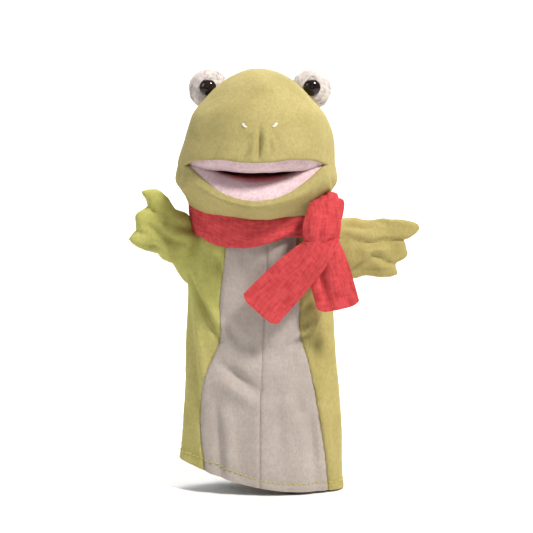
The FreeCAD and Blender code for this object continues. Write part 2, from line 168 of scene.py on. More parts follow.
def grid_faces(rows, columns, around=False):
    return [
        (i * columns + j, (i + 1) * columns + j,
         (i + 1) * columns + (j + 1) % columns, i * columns + (j + 1) % columns)
        for i in range(rows - 1)
        for j in range(columns if around else columns - 1)
    ]


def grid_normals(points, around=False):
    """Unit normals of a grid of points, pointing to its outer side."""
    if around:
        across = np.roll(points, -1, 1) - np.roll(points, 1, 1)
    else:
        across = np.gradient(points, axis=1)
    down = np.gradient(points, axis=0)
    normal = np.cross(down, across)
    return normal / np.maximum(np.linalg.norm(normal, axis=-1, keepdims=True), 1e-9)


def grid_object(name, points, around=False):
    """A cloth surface through a rows x columns grid of points in millimetres."""
    rows, columns = points.shape[:2]
    obj = new_object(name, points.reshape(-1, 3), grid_faces(rows, columns, around))
    along = np.cumsum(np.linalg.norm(np.diff(points, axis=1, prepend=points[:, :1]), axis=2), axis=1)
    down = np.cumsum(np.linalg.norm(np.diff(points, axis=0, prepend=points[:1]), axis=2), axis=0)
    middle = columns // 2
    along = along - along[:, middle:middle + 1]
    weave = np.stack([along, down, np.zeros_like(along)], -1)
    store(obj, "weave", weave.reshape(-1, 3) * MM)
    return obj


def points_of(obj):
    co = np.zeros(len(obj.data.vertices) * 3)
    obj.data.vertices.foreach_get("co", co)
    return co.reshape(-1, 3) / MM


def set_points(obj, points):
    obj.data.vertices.foreach_set("co", (np.asarray(points) * MM).ravel())
    obj.data.update()


def normals_of(obj):
    n = np.zeros(len(obj.data.vertices) * 3)
    obj.data.vertices.foreach_get("normal", n)
    return n.reshape(-1, 3)


def store(obj, name, vectors):
    """Keeps a vector for each vertex, for the materials to read."""
    attribute = obj.data.attributes.get(name) or obj.data.attributes.new(name, "FLOAT_VECTOR", "POINT")
    attribute.data.foreach_set("vector", np.asarray(vectors, np.float32).ravel())


def apply_modifiers(obj):
    depsgraph = bpy.context.evaluated_depsgraph_get()
    mesh = bpy.data.meshes.new_from_object(obj.evaluated_get(depsgraph))
    obj.modifiers.clear()
    old, obj.data = obj.data, mesh
    mesh.name = obj.name
    bpy.data.meshes.remove(old)
    return obj


def thicken(obj, thickness, outwards=-1.0, subdivide=0):
    """Gives a sheet its thickness, with crisp rims."""
    if subdivide:
        obj.modifiers.new("finer", "SUBSURF").levels = subdivide
    solid = obj.modifiers.new("thickness", "SOLIDIFY")
    solid.thickness = thickness * MM
    solid.offset = outwards
    solid.use_even_offset = False
    apply_modifiers(obj)
    obj.data.polygons.foreach_set("use_smooth", [True] * len(obj.data.polygons))
    obj.data.set_sharp_from_angle(angle=math.radians(52))
    return obj


def finish_piece(obj, material, body=None, blend=None, replaces=()):
    """Material, slot, and how the piece moves: it is parented to `body`; given blend=(a, b, start, end)
    in millimetres, its transform is only baked into its mesh, and the values of blend are not used.
    """
    if "weave" not in obj.data.attributes:
        points = points_of(obj)
        angle = np.arctan2(points[:, 0], -points[:, 1])
        reach = np.hypot(points[:, 0], points[:, 1]).mean()
        store(obj, "weave", np.stack([angle * reach, points[:, 2], points[:, 1] * 0], -1) * MM)
    store(obj, "rest", points_of(obj) * MM)
    obj.data.materials.clear()
    obj.data.materials.append(material)
    if replaces:
        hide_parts(*replaces)
    if blend:
        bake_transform(obj)
    else:
        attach(obj, body)
    return obj


def join(name, objects):
    """One object made of several meshes that aren't kept."""
    bm = bmesh.new()
    for o in objects:
        bm.from_mesh(o.data)
        discard(o)
    mesh = bpy.data.meshes.new(name)
    bm.to_mesh(mesh)
    bm.free()
    return linked(name, mesh)


def ring_solid(name, rings):
    """A closed form through rings of points in millimetres."""
    rings = np.array(rings)
    rows, columns = rings.shape[:2]
    faces = grid_faces(rows, columns, True)
    faces.append(tuple(range(columns)))
    faces.append(tuple(range((rows - 1) * columns, rows * columns))[::-1])
    return new_object(name, rings.reshape(-1, 3), faces)


def thread(name, path, radius, sides=6):
    """A short round thread along a path of points in millimetres, with rounded ends."""
    path = np.array(path, float)
    tangents = np.gradient(path, axis=0)
    tangents /= np.linalg.norm(tangents, axis=1, keepdims=True)
    side = np.cross(tangents, (0.31, 0.2, 0.93))
    side /= np.linalg.norm(side, axis=1, keepdims=True)
    up = np.cross(side, tangents)
    turn = np.linspace(0, 2 * np.pi, sides, endpoint=False)
    t = np.linspace(-1, 1, len(path))
    size = radius * np.sqrt(np.clip(1 - t**8, 0.05, 1))
    rings = path[:, None] + size[:, None, None] * (
        np.cos(turn)[None, :, None] * side[:, None] + np.sin(turn)[None, :, None] * up[:, None]
    )
    return ring_solid(name, rings)


# ---------------------------------------------------------------- materials


class Shader:
    """A material under construction, with short ways to add and link its nodes."""

    def __init__(self, name, **constants):
        self.material = bpy.data.materials.new(name)
        self.material.use_nodes = True
        self.tree = self.material.node_tree
        self.tree.nodes.clear()
        output = self.tree.nodes.new("ShaderNodeOutputMaterial")
        self.surface = self.tree.nodes.new("ShaderNodeBsdfPrincipled")
        self.tree.links.new(self.surface.outputs[0], output.inputs["Surface"])
        for socket, value in constants.items():
            self.surface.inputs[socket.replace("_", " ")].default_value = value

    def feed(self, made, inputs):
        for socket, value in dict(inputs).items():
            if isinstance(value, bpy.types.NodeSocket):
                self.tree.links.new(value, made.inputs[socket])
            else:
                made.inputs[socket].default_value = value

    def node(self, kind, inputs=(), output=0, **settings):
        made = self.tree.nodes.new("ShaderNode" + kind)
        for key, value in settings.items():
            setattr(made, key, value)
        self.feed(made, inputs)
        return made.outputs[output]

    def attribute(self, name):
        return self.node("Attribute", output="Vector", attribute_name=name)

    def scaled(self, vector, scale):
        return self.node("Mapping", {"Vector": vector, "Scale": scale})

    def noise(self, vector, scale, detail=3.0, roughness=0.55):
        return self.node(
            "TexNoise",
            {"Vector": vector, "Scale": scale, "Detail": detail, "Roughness": roughness},
        )

    def wave(self, vector, period, direction):
        return self.node(
            "TexWave", {"Vector": vector, "Scale": 0.31416 / period, "Distortion": 0.6,
                        "Detail": 1.0, "Detail Scale": 2.0},
            output="Fac", bands_direction=direction,
        )

    def math(self, operation, a, b=0.0, c=0.0):
        return self.node("Math", {0: a, 1: b, 2: c}, operation=operation)

    def ramp(self, value, *stops):
        made = self.tree.nodes.new("ShaderNodeValToRGB")
        self.tree.links.new(value, made.inputs[0])
        elements = made.color_ramp.elements
        while len(elements) < len(stops):
            elements.new(0.5)
        for element, (place, colour) in zip(elements, stops):
            element.position = place
            element.color = colour
        return made.outputs[0]

    def mix(self, factor, a, b):
        # the mix node's colour sockets are 6 and 7, and its colour output is 2
        return self.node("Mix", {0: factor, 6: a, 7: b}, output=2, data_type="RGBA")

    def link(self, value, socket):
        self.tree.links.new(value, self.surface.inputs[socket])

    def bump(self, height, distance, strength=1.0):
        self.link(
            self.node("Bump", {"Height": height, "Distance": distance, "Strength": strength}),
            "Normal",
        )


def tint(colour, factor):
    return tuple(min(1.0, c * factor) for c in colour[:3]) + (1.0,)


def brushed_cloth(name, colour, shade, fleck=1.0, thread_period=0.0008, sheen=0.35, lower=None):
    """Brushed cotton: a plain weave under a short nap, mottled where the nap lies differently.

    lower is the (colour, shade) that the cloth turns to towards the hem; this change is painted light,
    with the colour above standing in for how the light falls on the upper cloth.
    """
    s = Shader(name, Roughness=0.92, Sheen_Weight=sheen, Sheen_Roughness=0.45,
               Sheen_Tint=tint(colour, 1.5), Specular_IOR_Level=0.2)
    rest, weave = s.attribute("rest"), s.attribute("weave")
    mottle = s.noise(rest, 38.0, 4.0, 0.6)
    broad = s.ramp(mottle, (0.32, shade), (0.68, colour))
    if lower:
        # painted light: the colour turns to `lower` from 135 mm down to 85 mm, standing in for how the
        # light falls on the cloth
        height = s.node("SeparateXYZ", {"Vector": rest}, output="Z")
        painted_light_by_height = s.node("MapRange", {"Value": height, "From Min": 0.085, "From Max": 0.135})
        broad = s.mix(painted_light_by_height, s.ramp(mottle, (0.32, lower[1]), (0.68, lower[0])), broad)
    nap = s.noise(s.scaled(rest, (1.0, 1.0, 0.6)), 620.0, 3.0, 0.7)
    napped = s.mix(
        s.math("MULTIPLY", s.ramp(nap, (0.42, (0, 0, 0, 1)), (0.66, (1, 1, 1, 1))), 0.5 * fleck),
        broad, tint(shade, 0.72),
    )
    slub = s.noise(s.scaled(weave, (60.0, 900.0, 1.0)), 1.0, 2.0, 0.5)
    tone = s.mix(s.math("MULTIPLY", slub, 0.2), napped, tint(colour, 1.22))
    s.link(tone, "Base Color")
    threads = s.math("ADD", s.wave(weave, thread_period, "X"), s.wave(weave, thread_period, "Y"))
    height = s.math("ADD", s.math("MULTIPLY", threads, 0.35), nap)
    s.bump(height, 0.00035, 0.55)
    return s.material


def plush(name, colour, shade, depth=0.0011, grain=520.0, inside=None):
    """Short-pile plush, with tufts that lie in clumps; `inside` is painted shade, the deep red-brown it
    turns to far from the edge, where the back of the mouth lies in shadow.
    """
    s = Shader(name, Roughness=0.95, Sheen_Weight=0.5, Sheen_Roughness=0.5,
               Sheen_Tint=tint(colour, 1.1), Specular_IOR_Level=0.1, Subsurface_Weight=0.06,
               Subsurface_Scale=0.002)
    rest = s.attribute("rest")
    tufts = s.noise(rest, grain, 4.0, 0.65)
    clumps = s.noise(rest, 95.0, 3.0, 0.6)
    base = s.ramp(clumps, (0.3, shade), (0.62, colour))
    tone = s.mix(
        s.math("MULTIPLY", s.ramp(tufts, (0.36, (1, 1, 1, 1)), (0.56, (0, 0, 0, 1))), 0.55),
        base, tint(shade, 0.78))
    # painted shade: the lining darkens to `inside` towards the shadowed back of the mouth
    if inside:
        far = s.node("SeparateXYZ", {"Vector": s.attribute("weave")}, output="Y")
        tone = s.mix(s.node("MapRange", {"Value": far, "From Min": 0.0175, "From Max": 0.026}),
                     tone, inside)
    s.link(tone, "Base Color")
    s.bump(s.math("ADD", tufts, s.math("MULTIPLY", clumps, 0.8)), depth, 0.6)
    return s.material


def gauze(name, colour, shade):
    """Crinkled double gauze: an open weave drawn into fine pleats along the strip."""
    s = Shader(name, Roughness=0.9, Sheen_Weight=0.3, Sheen_Roughness=0.4,
               Sheen_Tint=tint(colour, 1.3), Specular_IOR_Level=0.2)
    weave, rest = s.attribute("weave"), s.attribute("rest")
    pleats = s.noise(s.scaled(weave, (95.0, 520.0, 1.0)), 1.0, 3.0, 0.6)
    cross = s.noise(s.scaled(weave, (420.0, 120.0, 1.0)), 1.0, 2.0, 0.55)
    crinkle = s.math("ADD", pleats, s.math("MULTIPLY", cross, 0.6))
    # painted shade: the crinkle's valleys, the hollows of the bump's relief, are darkened towards
    # `shade`
    base = s.ramp(s.math("MULTIPLY", crinkle, 0.62), (0.36, shade), (0.58, colour))
    worn = s.mix(s.math("MULTIPLY", s.noise(rest, 60.0, 3.0), 0.35), base, tint(colour, 1.25))
    threads = s.math("ADD", s.wave(weave, 0.0009, "X"), s.wave(weave, 0.0009, "Y"))
    # painted shade: the gaps of the open weave are darkened, as shade seen through them
    holes = s.ramp(threads, (0.25, (1, 1, 1, 1)), (0.7, (0, 0, 0, 1)))
    s.link(s.mix(s.math("MULTIPLY", holes, 0.25), worn, tint(shade, 0.6)), "Base Color")
    s.bump(s.math("ADD", crinkle, s.math("MULTIPLY", threads, 0.12)), 0.0011, 0.7)
    return s.material


def twisted_thread(name, colour, shade):
    s = Shader(name, Roughness=0.6, Sheen_Weight=0.3, Specular_IOR_Level=0.35)
    rest = s.attribute("rest")
    ply = s.wave(s.node("Mapping", {"Vector": rest, "Rotation": (0.5, 0.8, 0.4)}), 0.0005, "X")
    fibre = s.noise(rest, 1500.0, 2.0)
    s.link(s.mix(s.math("MULTIPLY", ply, fibre), shade, colour), "Base Color")
    s.bump(ply, 0.0002, 0.6)
    return s.material


def moulded_plastic(name, colour, shade, roughness):
    """Injection-moulded plastic, with a faint flow pattern and handling haze."""
    s = Shader(name, Specular_IOR_Level=0.4)
    position = s.node("TexCoord", output="Object")
    flow = s.noise(position, 240.0, 3.0)
    s.link(s.ramp(flow, (0.35, shade), (0.7, colour)), "Base Color")
    s.link(s.node("MapRange", {"Value": s.noise(position, 900.0, 2.0), "To Min": roughness * 0.7,
                               "To Max": roughness * 1.5}), "Roughness")
    s.bump(flow, 0.00004, 0.3)
    return s.material


cloth_head = brushed_cloth("head_cloth", srgb(168, 155, 103), srgb(148, 137, 86))
# lower: painted light, lime above turning khaki towards the hem, standing in for how the light falls
cloth_lime = brushed_cloth("lime_cloth", srgb(170, 167, 96), srgb(152, 151, 80), fleck=0.9,
                           lower=(srgb(172, 160, 104), srgb(152, 142, 86)))
cloth_khaki = brushed_cloth("khaki_cloth", srgb(168, 155, 100), srgb(150, 138, 82))
cloth_belly = brushed_cloth("belly_cloth", srgb(170, 160, 153), srgb(153, 143, 135), fleck=0.8,
                            sheen=0.2)
# inside is painted shade: the deep red-brown of the shadowed back of the mouth
plush_mouth = plush("mouth_plush", srgb(208, 184, 188), srgb(190, 164, 168), depth=0.0007,
                    inside=srgb(214, 110, 104))
plush_eye = plush("eye_plush", srgb(205, 197, 193), srgb(186, 175, 171), depth=0.0014, grain=380.0)
gauze_red = gauze("red_gauze", srgb(192, 70, 72), srgb(160, 42, 48))
thread_hem = twisted_thread("hem_thread", srgb(206, 204, 104), srgb(168, 166, 70))
thread_face = twisted_thread("face_thread", srgb(246, 242, 232), srgb(205, 200, 188))
eye_gloss = moulded_plastic("eye_gloss", srgb(40, 26, 22), srgb(18, 12, 12), 0.06)
washer_plastic = moulded_plastic("washer_plastic", srgb(226, 224, 214), srgb(206, 203, 190), 0.4)
plain_cotton = brushed_cloth("plain_cotton", srgb(222, 214, 196), srgb(206, 196, 176), 0.4)
fibre_fill = plush("fibre_fill", srgb(236, 234, 228), srgb(214, 210, 202), depth=0.002, grain=160.0)
mouth_card = plush("mouth_card", srgb(176, 154, 122), srgb(150, 128, 98), depth=0.0002, grain=260.0)

FINISHES = {
    "pocket_cloth": plain_cotton,
    "stuffing": fibre_fill,
    "mouth_board": mouth_card,
    "eye_plastic": eye_gloss,
    "washer_plastic": washer_plastic,
}


# ---------------------------------------------------------------- head

HEAD_CENTRE = np.array([0.0, -13.0, 218.0])
HEAD_HALF = np.array([55.0, 57.6, 67.0])
CORNER = 61.0  # azimuth of the mouth's corners, in degrees from the front
AZIMUTHS = np.linspace(-180, 180, 288, endpoint=False)


def crown_squeeze(h):
    """How much narrower than an ellipsoid the head is, from its widest height upwards."""
    return 1 - 0.014 * smooth(h, 0, 0.3) - 0.058 * smooth(h, 0.5, 0.74)


def sway(points):
    """The lower face sits a little to the puppet's right of the crown."""
    aside = -2.4 * (1 - smooth(points[..., 2], 218, 240)) * smooth(points[..., 2], 182, 192)
    return points + aside[..., None] * np.array([1.0, 0, 0])


def head_point(azimuth, h):
    """A point of the upper head; azimuth in degrees from the front, h from 0 to 1 at the top."""
    a = np.radians(azimuth)
    k = np.sqrt(np.clip(1 - h**2, 0, 1)) * crown_squeeze(h)
    return np.stack([
        HEAD_HALF[0] * k * np.sin(a),
        HEAD_CENTRE[1] - HEAD_HALF[1] * k * np.cos(a),
        HEAD_CENTRE[2] + HEAD_HALF[2] * h,
    ], -1)


def upper_edge(azimuth):
    """The height of the upper skin's lower edge: the lip in front, the seam behind."""
    a = np.abs(azimuth)
    return through(a, [(0, 222.3), (12, 222.8), (24, 224.2), (38, 224), (50, 223.2), (57, 221.8),
                       (CORNER + 3, 219.4), (80, 219), (180, 219)])


NOSE_CREASES = (
    # x0, z0, x1, z1, width, height
    (0.2, 243, 0.9, 224, 1.25, -3.0), (-3.2, 240, -3.6, 224, 2.8, 1.5), (4.2, 243, 4.4, 226, 2.6, 2.1),
    (4.8, 240, 10.5, 226, 1.1, -1.0), (8.5, 243, 15.5, 229, 1.3, -0.7),
    (-2.0, 238, -10.5, 225, 1.4, -0.9), (-5.0, 242, -17.5, 231, 1.6, -0.6),
    (-26, 233, -30, 224, 1.8, -0.5), (-37, 234, -41, 224, 1.8, -0.5), (27, 232, 30, 224, 1.8, -0.4),
    (40, 230, 42, 222, 1.8, -0.5), (-44, 262, -20, 268, 4.0, -0.35),
)
CHEEK_CREASES = (
    (50.5, 216, 52.5, 203, 1.6, -1.6), (47.5, 211, 49.5, 201, 2.4, 1.0), (44.5, 208, 40, 197, 1.8, -0.9),
)


def upper_creases(points, azimuth):
    """Outward displacement of the upper skin: the pinch under the nose, gathers and nap."""
    x, z = points[..., 0], points[..., 2]
    front = smooth(-points[..., 1], 20, 40)
    pinch = fold_height(x, z, NOSE_CREASES)
    low = 1 - smooth(z, 219, 232)
    gathers = 0.22 * low * np.sin(np.radians(azimuth) * 46 + 2.0 * noise(points, 18, 3))
    soft = (
        1.0 * noise(points, 34, 1) + 0.35 * noise(points, 11, 2) + 0.12 * noise(points, 4.2, 4)
    )
    crown_seam = -0.9 * np.exp(-(((points[..., 1] - 4) / 1.1) ** 2))
    return front * pinch + gathers + soft + crown_seam


def upper_head():
    """The skin over the crown and the back of the head, turned in along its lower edge."""
    t = np.linspace(0, 1, 96)[:, None]
    azimuth = AZIMUTHS[None, :] + 0 * t
    edge = (upper_edge(azimuth) - HEAD_CENTRE[2]) / HEAD_HALF[2]
    h = np.cos(t * np.arccos(edge))
    points = head_point(azimuth, h)
    outward = grid_normals(points, True)
    outward[0] = (0, 0, 1)  # the pole has no normal of its own
    points = points + outward * upper_creases(points, azimuth)[..., None]
    points[0] = points[0].mean(0)
    return sway(roll_in(points, -1))


def roll_in(points, direction):
    """Adds rows that turn the last row's edge inwards; direction is -1 for down, 1 for up."""
    edge = points[-1]
    inward = HEAD_CENTRE * (1, 1, 0) - edge * (1, 1, 0)
    inward /= np.linalg.norm(inward, axis=1, keepdims=True)
    rows = [edge + inward * reach + np.array([0, 0, direction * drop])
            for reach, drop in ((0.35, 0.75), (1.1, 1.25), (2.1, 1.3), (3.2, 0.9), (4.6, 0.2))]
    return np.concatenate([points, np.array(rows)])


JAW_TABLE = {
    "lip": ([(0, 50), (30, 52.3), (48, 54.3), (CORNER, 55.2), (75, 54.8), (90, 54.6), (135, 56.5),
             (180, 58)],
            [(0, 194.0), (15, 196.0), (30, 201.2), (40, 206.8), (48, 211.4), (55, 215.6),
             (CORNER + 1, 218), (75, 218.2), (180, 218.2)]),
    "bulge": ([(0, 50.4), (30, 53.2), (48, 55.6), (CORNER, 56.6), (75, 56.4), (90, 55.8),
               (135, 57), (180, 57.6)],
              [(0, 190.8), (30, 197.4), (48, 205.4), (CORNER, 208.6), (75, 208.6), (90, 208),
               (135, 205), (180, 204)]),
    "under": ([(0, 44), (30, 46), (48, 48.4), (CORNER, 50), (75, 50.2), (90, 49.8), (135, 52),
               (180, 53)],
              [(0, 187.4), (12, 188.0), (30, 191.2), (48, 195), (CORNER, 196.8), (75, 197.2),
               (90, 196.6), (135, 193), (180, 190)]),
    "neck": ([(0, 20), (30, 25), (48, 29.5), (CORNER, 34), (75, 38.5), (90, 42), (135, 46),
              (180, 45)],
             [(0, 180), (180, 180)]),
}


def jaw_skin():
    """Chin, cheeks and the lower back of the head, from the lower lip to the neck."""
    a = np.abs(AZIMUTHS)
    radii, heights = zip(*((through(a, r), through(a, z)) for r, z in JAW_TABLE.values()))
    stations = np.array([0, 0.26, 0.62, 1.0])
    t = np.linspace(0, 1, 44)
    r = np.array([through(t, list(zip(stations, column))) for column in np.array(radii).T]).T
    z = np.array([through(t, list(zip(stations, column))) for column in np.array(heights).T]).T
    turn = np.radians(AZIMUTHS)[None, :]
    points = np.stack([r * np.sin(turn), HEAD_CENTRE[1] - r * np.cos(turn), z], -1)
    azimuth = np.degrees(turn) + 0 * r
    outward = grid_normals(points, True)
    near_lip = np.exp(-((t[:, None] / 0.16) ** 2)) * (1 - smooth(np.abs(azimuth), 62, 74))
    gathers = near_lip * 0.22 * np.sin(np.radians(azimuth) * 52 + 2.5 * noise(points, 14, 8))
    cheek = fold_height(np.abs(points[..., 0]), points[..., 2], CHEEK_CREASES)
    cheek = cheek * (points[..., 1] < HEAD_CENTRE[1])
    soft = 1.1 * noise(points, 26, 6) + 0.4 * noise(points, 9, 7) + 0.12 * noise(points, 4, 9)
    fade = smooth(1 - t, 0, 0.15)[:, None]
    points = points + outward * (gathers + (cheek + soft) * fade)[..., None]
    return sway(roll_in(points[::-1], 1)[::-1])


def lip_line(azimuth, table, inset):
    """Points just inside the upper or lower lip."""
    a = np.abs(azimuth)
    turn = np.radians(azimuth)
    if table == "upper":
        p = head_point(azimuth, (upper_edge(azimuth) - HEAD_CENTRE[2]) / HEAD_HALF[2])
        r = np.hypot(p[..., 0], p[..., 1] - HEAD_CENTRE[1]) - inset
        z = p[..., 2]
    else:
        r = through(a, JAW_TABLE["lip"][0]) - inset
        z = through(a, JAW_TABLE["lip"][1])
    return np.stack([r * np.sin(turn), HEAD_CENTRE[1] - r * np.cos(turn), z], -1)


HINGE = np.array([0.0, -8.0, 214.0])
LINING_INSET = 1.9


def lining(table, azimuths, profile, hinge_drop, seed):
    """A padded mouth lining from just inside a lip to the fold at the back of the mouth.

    profile is (share of the way in, height above the straight line, in mm) pairs.
    """
    t = np.concatenate([np.linspace(0, 0.2, 14), np.linspace(0.22, 1, 30)])
    lip = lip_line(azimuths, table, LINING_INSET)
    back = np.stack([lip[:, 0] * 0.86, HINGE[1] + 0 * lip[:, 0],
                     HINGE[2] + hinge_drop + 0 * lip[:, 0]], -1)
    reach = (np.abs(azimuths) / CORNER)[None, :]
    fullness = np.clip(1 - reach**6, 0, 1) * 0.85 + 0.15
    points = lip[None] * (1 - t[:, None, None]) + back[None] * t[:, None, None]
    points[..., 2] += through(t, profile)[:, None] * fullness
    soft = 0.5 * noise(points, 15, seed) + 0.22 * noise(points, 5, seed + 1)
    points[..., 2] += soft * np.sin(np.pi * np.clip(t * 6, 0, 1) / 2)[:, None]
    return sway(points)


def build_head():
    upper = upper_head()
    skin = grid_object("head_skin", upper, True)
    thicken(skin, 1.2)
    finish_piece(skin, cloth_head, "head",
                 replaces=("head_skin_crown", "head_skin_back", "head_filling"))

    jaw = grid_object("jaw_cloth", jaw_skin(), True)
    thicken(jaw, 1.2)
    start = np.array([0, -40.0, 217.0])
    end = start + 18 * np.array([0, -0.977, -0.211])
    finish_piece(jaw, cloth_head, blend=("head", "jaw", start, end),
                 replaces=("jaw_skin", "jaw_filling"))

    azimuths = np.linspace(-CORNER - 1, CORNER + 1, 150)
    roof = lining("upper", azimuths,
                  [(0, 0.5), (0.03, -2.4), (0.07, -4.8), (0.12, -5.8), (0.5, -3.6), (1, 0)],
                  0.0, 20)
    roof_obj = grid_object("mouth_roof_plush", roof)
    thicken(roof_obj, 1.0)
    finish_piece(roof_obj, plush_mouth, "head",
                 replaces=("mouth_roof_lining", "mouth_roof_board"))
    floor = lining("lower", azimuths,
                   [(0, -0.6), (0.03, 3.2), (0.08, 6.6), (0.16, 9.0), (0.3, 9.4), (0.6, 5.4),
                    (0.85, 2.0), (1, 0)],
                   -1.6, 30)
    folds = 0.3 * np.exp(-((np.linspace(0, 1, floor.shape[0]) / 0.12) ** 2))[:, None] * np.sin(
        np.radians(azimuths) * 50 + 2.5 * noise(floor, 12, 34))
    floor[..., 2] += folds
    floor_obj = grid_object("mouth_floor_plush", floor)
    thicken(floor_obj, 1.0, 1.0)
    finish_piece(floor_obj, plush_mouth,
                 blend=("head", "jaw", (0, 0, 217), (0, 0, 203)),
                 replaces=("mouth_floor_lining", "mouth_floor_board", "mouth_fold"))


def build_neck():
    """Three short tubes of the neck, one over each joint, mostly under the scarf."""
    turn = np.linspace(0, 2 * np.pi, 120, endpoint=False)
    for name, low, high, inset, a, b, start, end, node in (
        ("neck_cloth_low", 160, 169.5, 1.0, "sleeve", "neck_gusset", 163, 168.5, "neck_gusset"),
        ("neck_cloth_middle", 168, 174.5, 1.6, "neck_gusset", "neck_cuff", 169, 173, "neck_cuff"),
        ("neck_cloth_high", 173, 181.5, 1.0, "neck_cuff", "head", 174.5, 180.5, None),
    ):
        z = np.linspace(high, low, 9)[:, None]
        width = 39.5 - inset - 0.8 * np.sin((z - 160) / 21 * np.pi)
        depth = width - 9
        points = np.stack([width * np.sin(turn), 0.5 - depth * np.cos(turn), z + 0 * turn], -1)
        points += grid_normals(points, True) * (0.6 * noise(points, (6, 6, 20), 41))[..., None]
        tube = thicken(grid_object(name, points, True), 1.0)
        finish_piece(tube, cloth_head, blend=(a, b, (0, 0, start), (0, 0, end)),
                     replaces=(node,) if node else ())


# ---------------------------------------------------------------- eyes and stitches


def build_eyes():
    rng = np.random.default_rng(7)
    for sign, word in SIDES:
        low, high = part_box(f"eye_cover_{word}")
        centre = np.array((low + high) / 2) / MM + (0, 0.6, -0.8)
        radius = (high.z - low.z) / MM / 2 + 0.9
        latitude = np.linspace(0, np.pi, 60)[:, None]
        longitude = np.linspace(2 * np.pi, 0, 110, endpoint=False)[None, :]
        # the pole of the ball looks forwards, where the plastic eye is seated
        direction = np.stack([
            np.sin(latitude) * np.sin(longitude), -np.cos(latitude) + 0 * longitude,
            np.sin(latitude) * np.cos(longitude)], -1)
        points = centre + direction * radius
        swell = 0.55 * noise(points, 7, 50 + sign) + 0.3 * noise(points, 2.6, 52) - 0.1
        dimple = -2.3 * np.exp(-((latitude / 0.44) ** 2))
        points = points + direction * (swell + dimple)[..., None]
        points[0], points[-1] = points[0].mean(0), points[-1].mean(0)
        ball = grid_object(f"eye_ball_{word}", points, True)
        finish_piece(ball, plush_eye, "head",
                     replaces=(f"eye_cover_{word}", f"eye_filling_{word}"))
        build_pile(word, centre, radius, rng)
        dome = frame["nodes"][f"eye_dome_{word}"]
        dome.data.materials.clear()
        dome.data.materials.append(eye_gloss)
        for polygon in dome.data.polygons:
            polygon.use_smooth = True


def build_pile(word, centre, radius, rng):
    """Short pile standing off the plush ball, as slim tapering tufts."""
    count = 1500
    direction = rng.normal(size=(count, 3))
    direction /= np.linalg.norm(direction, axis=1, keepdims=True)
    direction = direction[direction[:, 1] > -0.84]
    lean = direction + 0.45 * rng.normal(size=direction.shape)
    lean /= np.linalg.norm(lean, axis=1, keepdims=True)
    side = np.cross(direction, (0.2, 0.3, 0.9))
    side /= np.linalg.norm(side, axis=1, keepdims=True)
    other = np.cross(direction, side)
    length = rng.uniform(0.7, 1.5, size=(len(direction), 1))
    root = centre + direction * (radius - 0.5)
    tip = root + direction * 0.5 + lean * length
    corners = [root + 0.26 * (side * math.cos(a) + other * math.sin(a)) for a in (0, 2.09, 4.19)]
    verts = np.stack(corners + [tip], 1).reshape(-1, 3)
    faces = []
    for k in range(0, len(verts), 4):
        faces += [(k, k + 1, k + 3), (k + 1, k + 2, k + 3), (k + 2, k, k + 3), (k + 2, k + 1, k)]
    pile = new_object(f"eye_pile_{word}", verts, faces)
    finish_piece(pile, plush_eye, "head")


def surface_tree(obj):
    bm = bmesh.new()
    bm.from_mesh(obj.data)
    tree = BVHTree.FromBMesh(bm)
    bm.free()
    return tree


def drop_on(tree, origin, direction, lift=0.0):
    """Where a ray meets a surface, lifted off it, in millimetres."""
    hit, normal = tree.ray_cast(Vector(origin) * MM, Vector(direction))[:2]
    if normal.dot(Vector(direction)) > 0:
        normal = -normal
    return np.array(hit) / MM + np.array(normal) * lift


def build_nostrils(skin):
    tree = surface_tree(skin)
    for sign, word in SIDES:
        strands = []
        for k, (dz, shorter) in enumerate(((-0.55, 0.7), (0.05, 0.0), (0.6, 1.2))):
            path = []
            for t in np.linspace(-1, 1, 9):
                x = sign * (10.3 + (2.1 - shorter) * t) + 0.25 * math.sin(5 * t + 2 * sign + k)
                z = 246.0 + 1.1 * t + dz + 0.35 * t * t * sign
                lift = 0.6 * math.cos(t * math.pi / 2) ** 0.5 - 0.15 if abs(t) < 1 else -0.6
                path.append(drop_on(tree, (x, -120, z), (0, 1, 0), lift))
            strands.append(thread(f"strand_{k}", path, 0.42))
        stitch = join(f"nostril_stitch_{word}_threads", strands)
        finish_piece(stitch, thread_face, "head",
                     replaces=(f"nostril_stitch_{word}",))


# ---------------------------------------------------------------- sleeve and arms

HEM_TILT = math.radians(10.4)
HEM_DEPTH = 5.6
SHOULDER = np.array([56.0, 0.0, 160.0])
RIGHT_TURN = np.array(
    Matrix.Rotation(math.radians(28), 3, "Y") @ Matrix.Rotation(math.radians(220), 3, "Z"))
RIGHT_OUT = RIGHT_TURN @ np.array([1.0, 0, 0])
BELLY_LEFT = [(-30, 49), (5, 47), (38, 42), (88, 32), (97, 29), (138, 28), (160, 26), (185, 25)]
BELLY_RIGHT = [(-30, -37), (5, -39), (38, -42), (78, -36), (93, -29), (124, -28), (159, -24),
               (185, -23)]
CENTRE_SEAM = [(-30, 0), (40, 0), (90, 2), (150, 5), (185, 6)]
SEAMS = ((BELLY_LEFT, 0.9), (BELLY_RIGHT, 0.9), (CENTRE_SEAM, 0.7))
ARMHOLE = 50.0
ARMPIT = 138.0
NECK_TOP = 176.0
UPPER_ARM = 21  # from the shoulder to the elbow


def oval(half_x, half_y, count=64):
    turn = np.linspace(0, 2 * np.pi, count, endpoint=False)
    return np.stack([half_x * np.sin(turn), -half_y * np.cos(turn)], -1)


def body_form():
    table = [(-30, 61, 31), (0, 58, 30), (62, 53, 28.5), (120, 51, 28.5), (138, 50.5, 30),
             (163, 44.5, 34.5), (172, 42, 33), (190, 41, 32)]
    z = np.linspace(-30, 190, 60)
    width = through(z, [(a, b) for a, b, c in table])
    depth = through(z, [(a, c) for a, b, c in table])
    # the cloth flares to the puppet's left above the hem
    aside = through(z, [(-30, 0), (5, 0.6), (30, 1.6), (60, 1.6), (90, 0.6), (120, 0), (190, 0)])
    rings = [np.column_stack([oval(w + a, d) + (a, 0), np.full(64, h)])
             for h, w, d, a in zip(z, width, depth, aside)]
    return ring_solid("body_form", rings)


